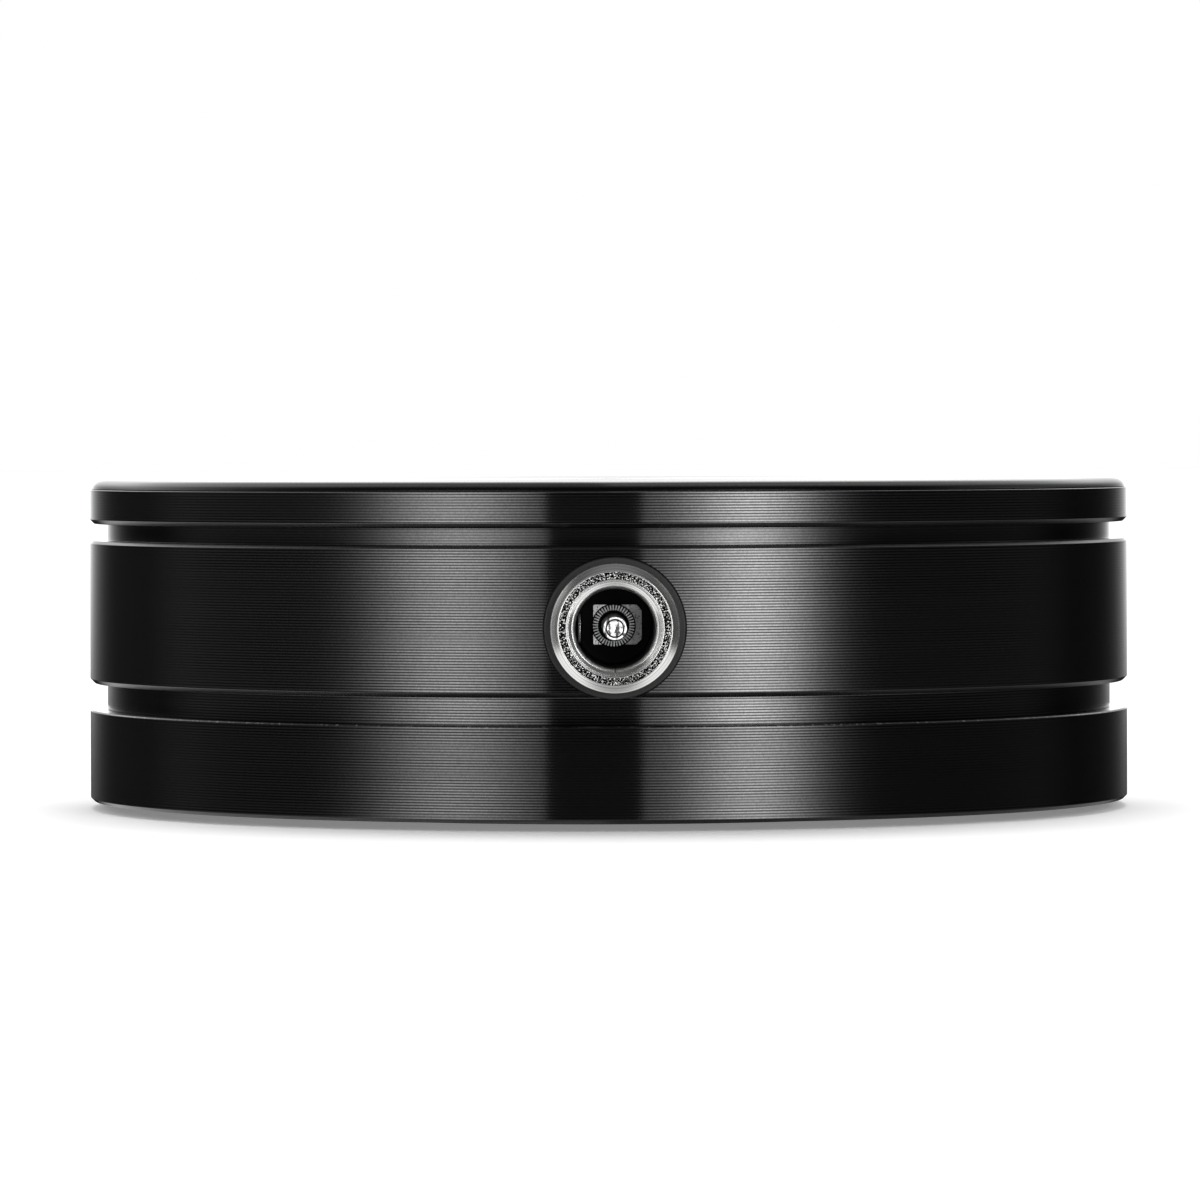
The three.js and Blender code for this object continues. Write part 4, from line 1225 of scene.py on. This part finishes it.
def motor_can():
    low, high = span("motor_can")
    inner = high.x - CAN["wall"]
    top = CAN["top"]
    can = lathe("motor_can", [
        (inner, low.z), (high.x, low.z, 0.1), (high.x, top, 0.9), (CAN["boss_r"], top, 0.3),
        (CAN["boss_r"], high.z, 0.25), (BEARING_R, high.z, 0.1), (BEARING_R, top - 0.8),
        (inner, top - 0.8, 0.4),
    ], 6, LARGE)
    return cut(can, *both_sides(MOTOR_SCREW_X, lambda: rod("tap", 0.95, top - 2, top + 1, SMALL)))


def motor_end_cap():
    low, high = span("motor_end_cap")
    plug_r = high.x - CAN["wall"] - GAP
    shoulder = CAN["low"] - GAP
    half = END_CAP["slot_half"]
    cap = lathe("motor_end_cap", [
        (BEARING_R, low.z), (high.x, low.z, 0.4), (high.x, shoulder, 0.1), (plug_r, shoulder),
        (plug_r, high.z, 0.2), (BEARING_R, high.z),
    ], 5, LARGE)
    slots = [
        block("slot", (x - 0.25, x + 0.25), (-half, half), (low.z - 1, high.z + 1))
        for x in (-END_CAP["slot_x"], END_CAP["slot_x"])
    ]
    return cut(cap, *slots)


def loop_point(half_sizes, power, angle):
    """Where a ray at an angle leaves a rounded rectangle: the higher the power, the squarer."""
    wide, high = half_sizes
    x = math.cos(angle)
    y = math.sin(angle)
    reach = (abs(x / wide) ** power + abs(y / high) ** power) ** (-1 / power)
    return x * reach, y * reach


def coil(number):
    """One winding: rows of wire side by side round an arm of the core."""
    rows = COIL["rows"]
    pitch = (COIL["far"] - COIL["near"]) / rows
    wire_r = pitch / 2
    steps = 6  # round a wire's outer half
    sides = 72
    depth = wire_r / (COIL["outer"][0] - COIL["inner"][0])
    section = [(0, COIL["near"]), (0, COIL["far"]), (1 - depth, COIL["far"])]  # how far out, along the arm
    for row in range(rows):
        middle = COIL["far"] - wire_r - row * pitch
        for k in range(1, steps + 1):
            turn = math.pi * k / steps
            section.append((1 - depth + depth * math.sin(turn), middle + wire_r * math.cos(turn)))
    verts = []
    for out, along in section:
        for j in range(sides):
            angle = TURN * j / sides
            near = loop_point(COIL["inner"], COIL["inner_power"], angle)
            far = loop_point(COIL["outer"], COIL["outer_power"], angle)
            y, z = (a + (b - a) * out for a, b in zip(near, far))
            verts.append((along, y, COIL["middle_z"] + z))
    faces = []
    for i in range(len(section)):
        on = (i + 1) % len(section)
        for j in range(sides):
            k = (j + 1) % sides
            faces.append([i * sides + j, on * sides + j, on * sides + k, i * sides + k])
    piece = new_piece(f"armature_coil_fine_{number}", verts, faces)
    return moved(piece, spin(TURN * (number - 1) / POLES))


def commutator():
    low, high = span("commutator")
    sleeve = tube_like("commutator", SHAFT_R + GAP)
    slots = []
    for i in range(POLES):
        slot = block("slot", (1.5, 3), (-0.13, 0.13), (low.z - 1, high.z + 1))
        slots.append(moved(slot, spin(TURN * (i + 0.5) / POLES)))
    return cut(sleeve, *slots)


def motor_shaft():
    low, high = span("motor_shaft")
    ease = 0.15
    return turned("motor_shaft_fine", [
        (0, low.z), (SHAFT_R - ease, low.z), (SHAFT_R, low.z + ease), (SHAFT_R, high.z - ease),
        (SHAFT_R - ease, high.z), (0, high.z),
    ], SMALL)


def rotor_hub():
    low, high = span("rotor_hub")
    hub = lathe("rotor_hub", [
        (HUB["bore_r"], low.z), (high.x, low.z, 0.7), (high.x, high.z, 0.7), (HUB["bore_r"], high.z),
    ], 5, LARGE)
    floor = low.z + HUB["floor"]
    pockets = both_sides(HUB["pitch_r"], lambda: rod("pocket", HUB["pocket_r"], floor, high.z + 1))
    access = rod("access", HUB["access_r"], 2.5, high.x + 2, SMALL)
    return cut(hub, *pockets, moved(access, ACROSS_HUB))


def hub_bush():
    hole = rod("hole", 1.25, 0.5, 4.5, SMALL)
    return cut(tube_like("hub_bush", SHAFT_R + 0.02), moved(hole, ACROSS_HUB))


def drive_magnet(node):
    low, high = span(node)
    r = (high.x - low.x) / 2
    disc = lathe(node, [(0, low.z), (r, low.z, 0.3), (r, high.z, 0.3), (0, high.z)])
    return moved(disc, shift((low.x + high.x) / 2, 0, 0))


def pan_screw(node, shank_r, head_high):
    """A pan-head screw with a cross recess."""
    low, high = span(node)
    r = (high.x - low.x) / 2
    seat = high.z - head_high
    screw = lathe(node, [
        (0, low.z), (shank_r - 0.2, low.z), (shank_r, low.z + 0.2), (shank_r, seat), (r, seat, 0.08),
        (r, seat + head_high * 0.55, 0.3), (r * 0.75, high.z, 0.3), (0, high.z),
    ], 5, SMALL)
    cut(screw, *cross(r * 0.6, 0.2, (seat + head_high * 0.4, high.z + 1)))
    return moved(screw, to_middle(node))


def add_motor():
    steel = worn_metal("motor_steel", (0.55, 0.55, 0.54), 0.4)
    brass = worn_metal("turned_brass", (0.65, 0.47, 0.2), 0.35)
    copper = worn_metal("bare_copper", (0.7, 0.32, 0.16), 0.35)
    black = plastic("moulded_black", (0.015, 0.015, 0.016), 0.45)
    acetal = plastic("moulded_acetal", (0.5, 0.49, 0.46), 0.4)
    dark_steel = worn_metal("screw_black_oxide", (0.05, 0.05, 0.052), 0.4)
    magnet = plated("magnet_nickel", 0.2)
    place(motor_can(), "housing", "plain_steel", steel, "motor_can")
    place(motor_end_cap(), "housing", "black_plastic", black, "motor_end_cap")
    for node in ("motor_front_bush", "motor_rear_bush"):
        place(tube_like(node, SHAFT_R + GAP), "housing", "brass", brass, node)
    for kind, (shank_r, head_high) in PAN_SCREWS.items():
        for node in (f"{kind}_1", f"{kind}_2"):
            place(pan_screw(node, shank_r, head_high), "housing", "black_screw", dark_steel, node)
    place(motor_shaft(), "rotor", "plain_steel", steel, "motor_shaft")
    place(commutator(), "rotor", "copper", copper, "commutator")
    for number in range(1, POLES + 1):
        place(coil(number), "rotor", "copper", enamelled_wire(), f"armature_coil_{number}")
    place(rotor_hub(), "rotor", "hub_plastic", acetal, "rotor_hub")
    place(hub_bush(), "rotor", "brass", brass, "hub_bush")
    for node in ("drive_magnet_1", "drive_magnet_2"):
        place(drive_magnet(node), "rotor", "magnet_nickel", magnet, node)
    dress(steel, "motor_plate", "pot_shaft")
    dress(brass, "plate_standoff_1", "plate_standoff_2", "board_standoff_1", "board_standoff_2", "pot_bush")
    dress(copper, "motor_brush_1", "motor_brush_2")
    dress(laminated(), "armature_core")
    dress(dark_steel, "hub_screw")
    dress(plastic("ferrite", (0.03, 0.03, 0.034), 0.7, 0.02), "field_magnet_1", "field_magnet_2")
    dress(black, "pot_body")


def laminated():
    """Thin sheets of steel stacked along the case's axis."""
    surface = Surface("lamination_steel", (0.3, 0.3, 0.32), 0.5, 1.0)
    z = surface.place()[2]
    sheets = (z * (TURN / 0.35)).maths("SINE").step(-0.9, -0.3)
    surface.tint(sheets, (0.04, 0.04, 0.045), (0.34, 0.34, 0.36))
    surface.bump(sheets, 0.05)
    surface.rough(surface.grain(3.0) * 0.2 + 0.4)
    return surface


def enamelled_wire():
    surface = Surface("enamelled_wire", (0.55, 0.2, 0.07), 0.3, 0.8)
    stain = surface.grain(0.9, 3.0)
    surface.tint(stain, (0.32, 0.1, 0.03), (0.72, 0.3, 0.11))
    surface.rough(stain * 0.2 + 0.2)
    return surface


# ---- control board

LEG = {"pitch": 1.27, "half": 0.2, "thick": 0.2, "count": 4, "reach": 0.6, "high": 0.8}


def eased(piece, width):
    """Rounds a piece's sharp edges."""
    modifier = piece.modifiers.new("ease", "BEVEL")
    modifier.width = width * MM
    modifier.segments = 2
    modifier.limit_method = "ANGLE"
    bake(piece)
    return piece


def driver_chip():
    low, high = span("driver_chip")
    middle_y = (low.y + high.y) / 2
    middle_x = (low.x + high.x) / 2
    body_y = (low.y + LEG["reach"], high.y - LEG["reach"])
    body = block("driver_chip_fine", (low.x, high.x), body_y, (low.z + 0.15, high.z))
    eased(body, 0.12)
    mark = rod("mark", 0.3, high.z - 0.12, high.z + 1, SMALL)
    cut(body, moved(mark, shift(low.x + 0.8, body_y[0] + 0.7, 0)))
    knee = low.z + LEG["high"]
    thick = LEG["thick"]
    reach = LEG["reach"]
    near = reach - 2 * thick
    outline = [
        (0, low.z), (reach - thick, low.z), (reach - thick, knee - thick), (reach + 0.3, knee - thick),
        (reach + 0.3, knee), (near, knee), (near, low.z + thick), (0, low.z + thick),
    ]
    upright = Matrix(((0, 0, 1, 0), (1, 0, 0, 0), (0, 1, 0, 0), (0, 0, 0, 1)))
    half_turn = shift(middle_x, middle_y, 0) @ spin(math.pi) @ shift(-middle_x, -middle_y, 0)
    legs = []
    for i in range(LEG["count"]):
        x = middle_x + (i - (LEG["count"] - 1) / 2) * LEG["pitch"]
        for side in (Matrix.Identity(4), half_turn):
            leg = raised("leg", outline, x - LEG["half"], x + LEG["half"])
            legs.append(moved(leg, side @ shift(0, low.y, 0) @ upright))
    return join(body, *legs)


def filter_capacitor():
    low, high = span("filter_capacitor")
    r = (high.x - low.x) / 2
    can = lathe("filter_capacitor", [
        (0, low.z), (r, low.z, 0.2), (r, low.z + 0.9, 0.2), (r - 0.3, low.z + 1.3, 0.3),
        (r, low.z + 1.7, 0.2), (r, high.z, 0.25), (r - 0.45, high.z, 0.1), (r - 0.5, high.z - 0.12),
        (0, high.z - 0.12),
    ])
    cut(can, *cross(1.7, 0.1, (high.z - 0.3, high.z + 1)))
    return moved(can, to_middle("filter_capacitor"))


def round_off(*nodes):
    """Smooths plain CAD tubes without touching their meshes."""
    for node in nodes:
        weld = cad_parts[node].modifiers.new("weld", "WELD")
        weld.merge_threshold = 0.001 * MM
        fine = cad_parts[node].modifiers.new("fine", "SUBSURF")
        fine.levels = 2
        fine.render_levels = 2


def add_board():
    black = plastic("chip_black", (0.015, 0.015, 0.016), 0.45)
    tin = worn_metal("tinned_legs", (0.7, 0.7, 0.7), 0.3)
    chip = place(driver_chip(), "housing", "black_plastic", black, "driver_chip")
    paint(chip, black, tin)
    low, high = span("driver_chip")
    edge = (high.y - low.y) / 2 - LEG["reach"]
    middle_y = (low.y + high.y) / 2
    repaint(chip, 1, lambda middle, normal: abs(middle.y - middle_y) > edge + 0.01)
    sleeve = plastic("capacitor_sleeve", (0.01, 0.012, 0.03), 0.35)
    can = place(filter_capacitor(), "housing", "bright_aluminium", sleeve, "filter_capacitor")
    paint(can, sleeve, worn_metal("can_aluminium", (0.75, 0.75, 0.76), 0.3))
    top = span("filter_capacitor")[1].z
    repaint(can, 1, lambda middle, normal: middle.z > top - 0.35 and normal.z > 0.5)
    dress(plastic("solder_mask", (0.02, 0.13, 0.05), 0.3), "control_board")
    red_wires = ("wire_power_positive", "wire_motor_positive")
    black_wires = ("wire_power_negative", "wire_motor_negative")
    dress(plastic("insulation_red", (0.4, 0.02, 0.015), 0.4), *red_wires)
    dress(plastic("insulation_black", (0.015, 0.015, 0.015), 0.4), *black_wires)
    round_off(*red_wires, *black_wires)


make_camera()
make_world()
make_fill_light()
make_floor()
add_case()
add_inlet()
add_control()
add_motor()
add_board()

bpy.context.scene.view_settings.view_transform = "Standard"
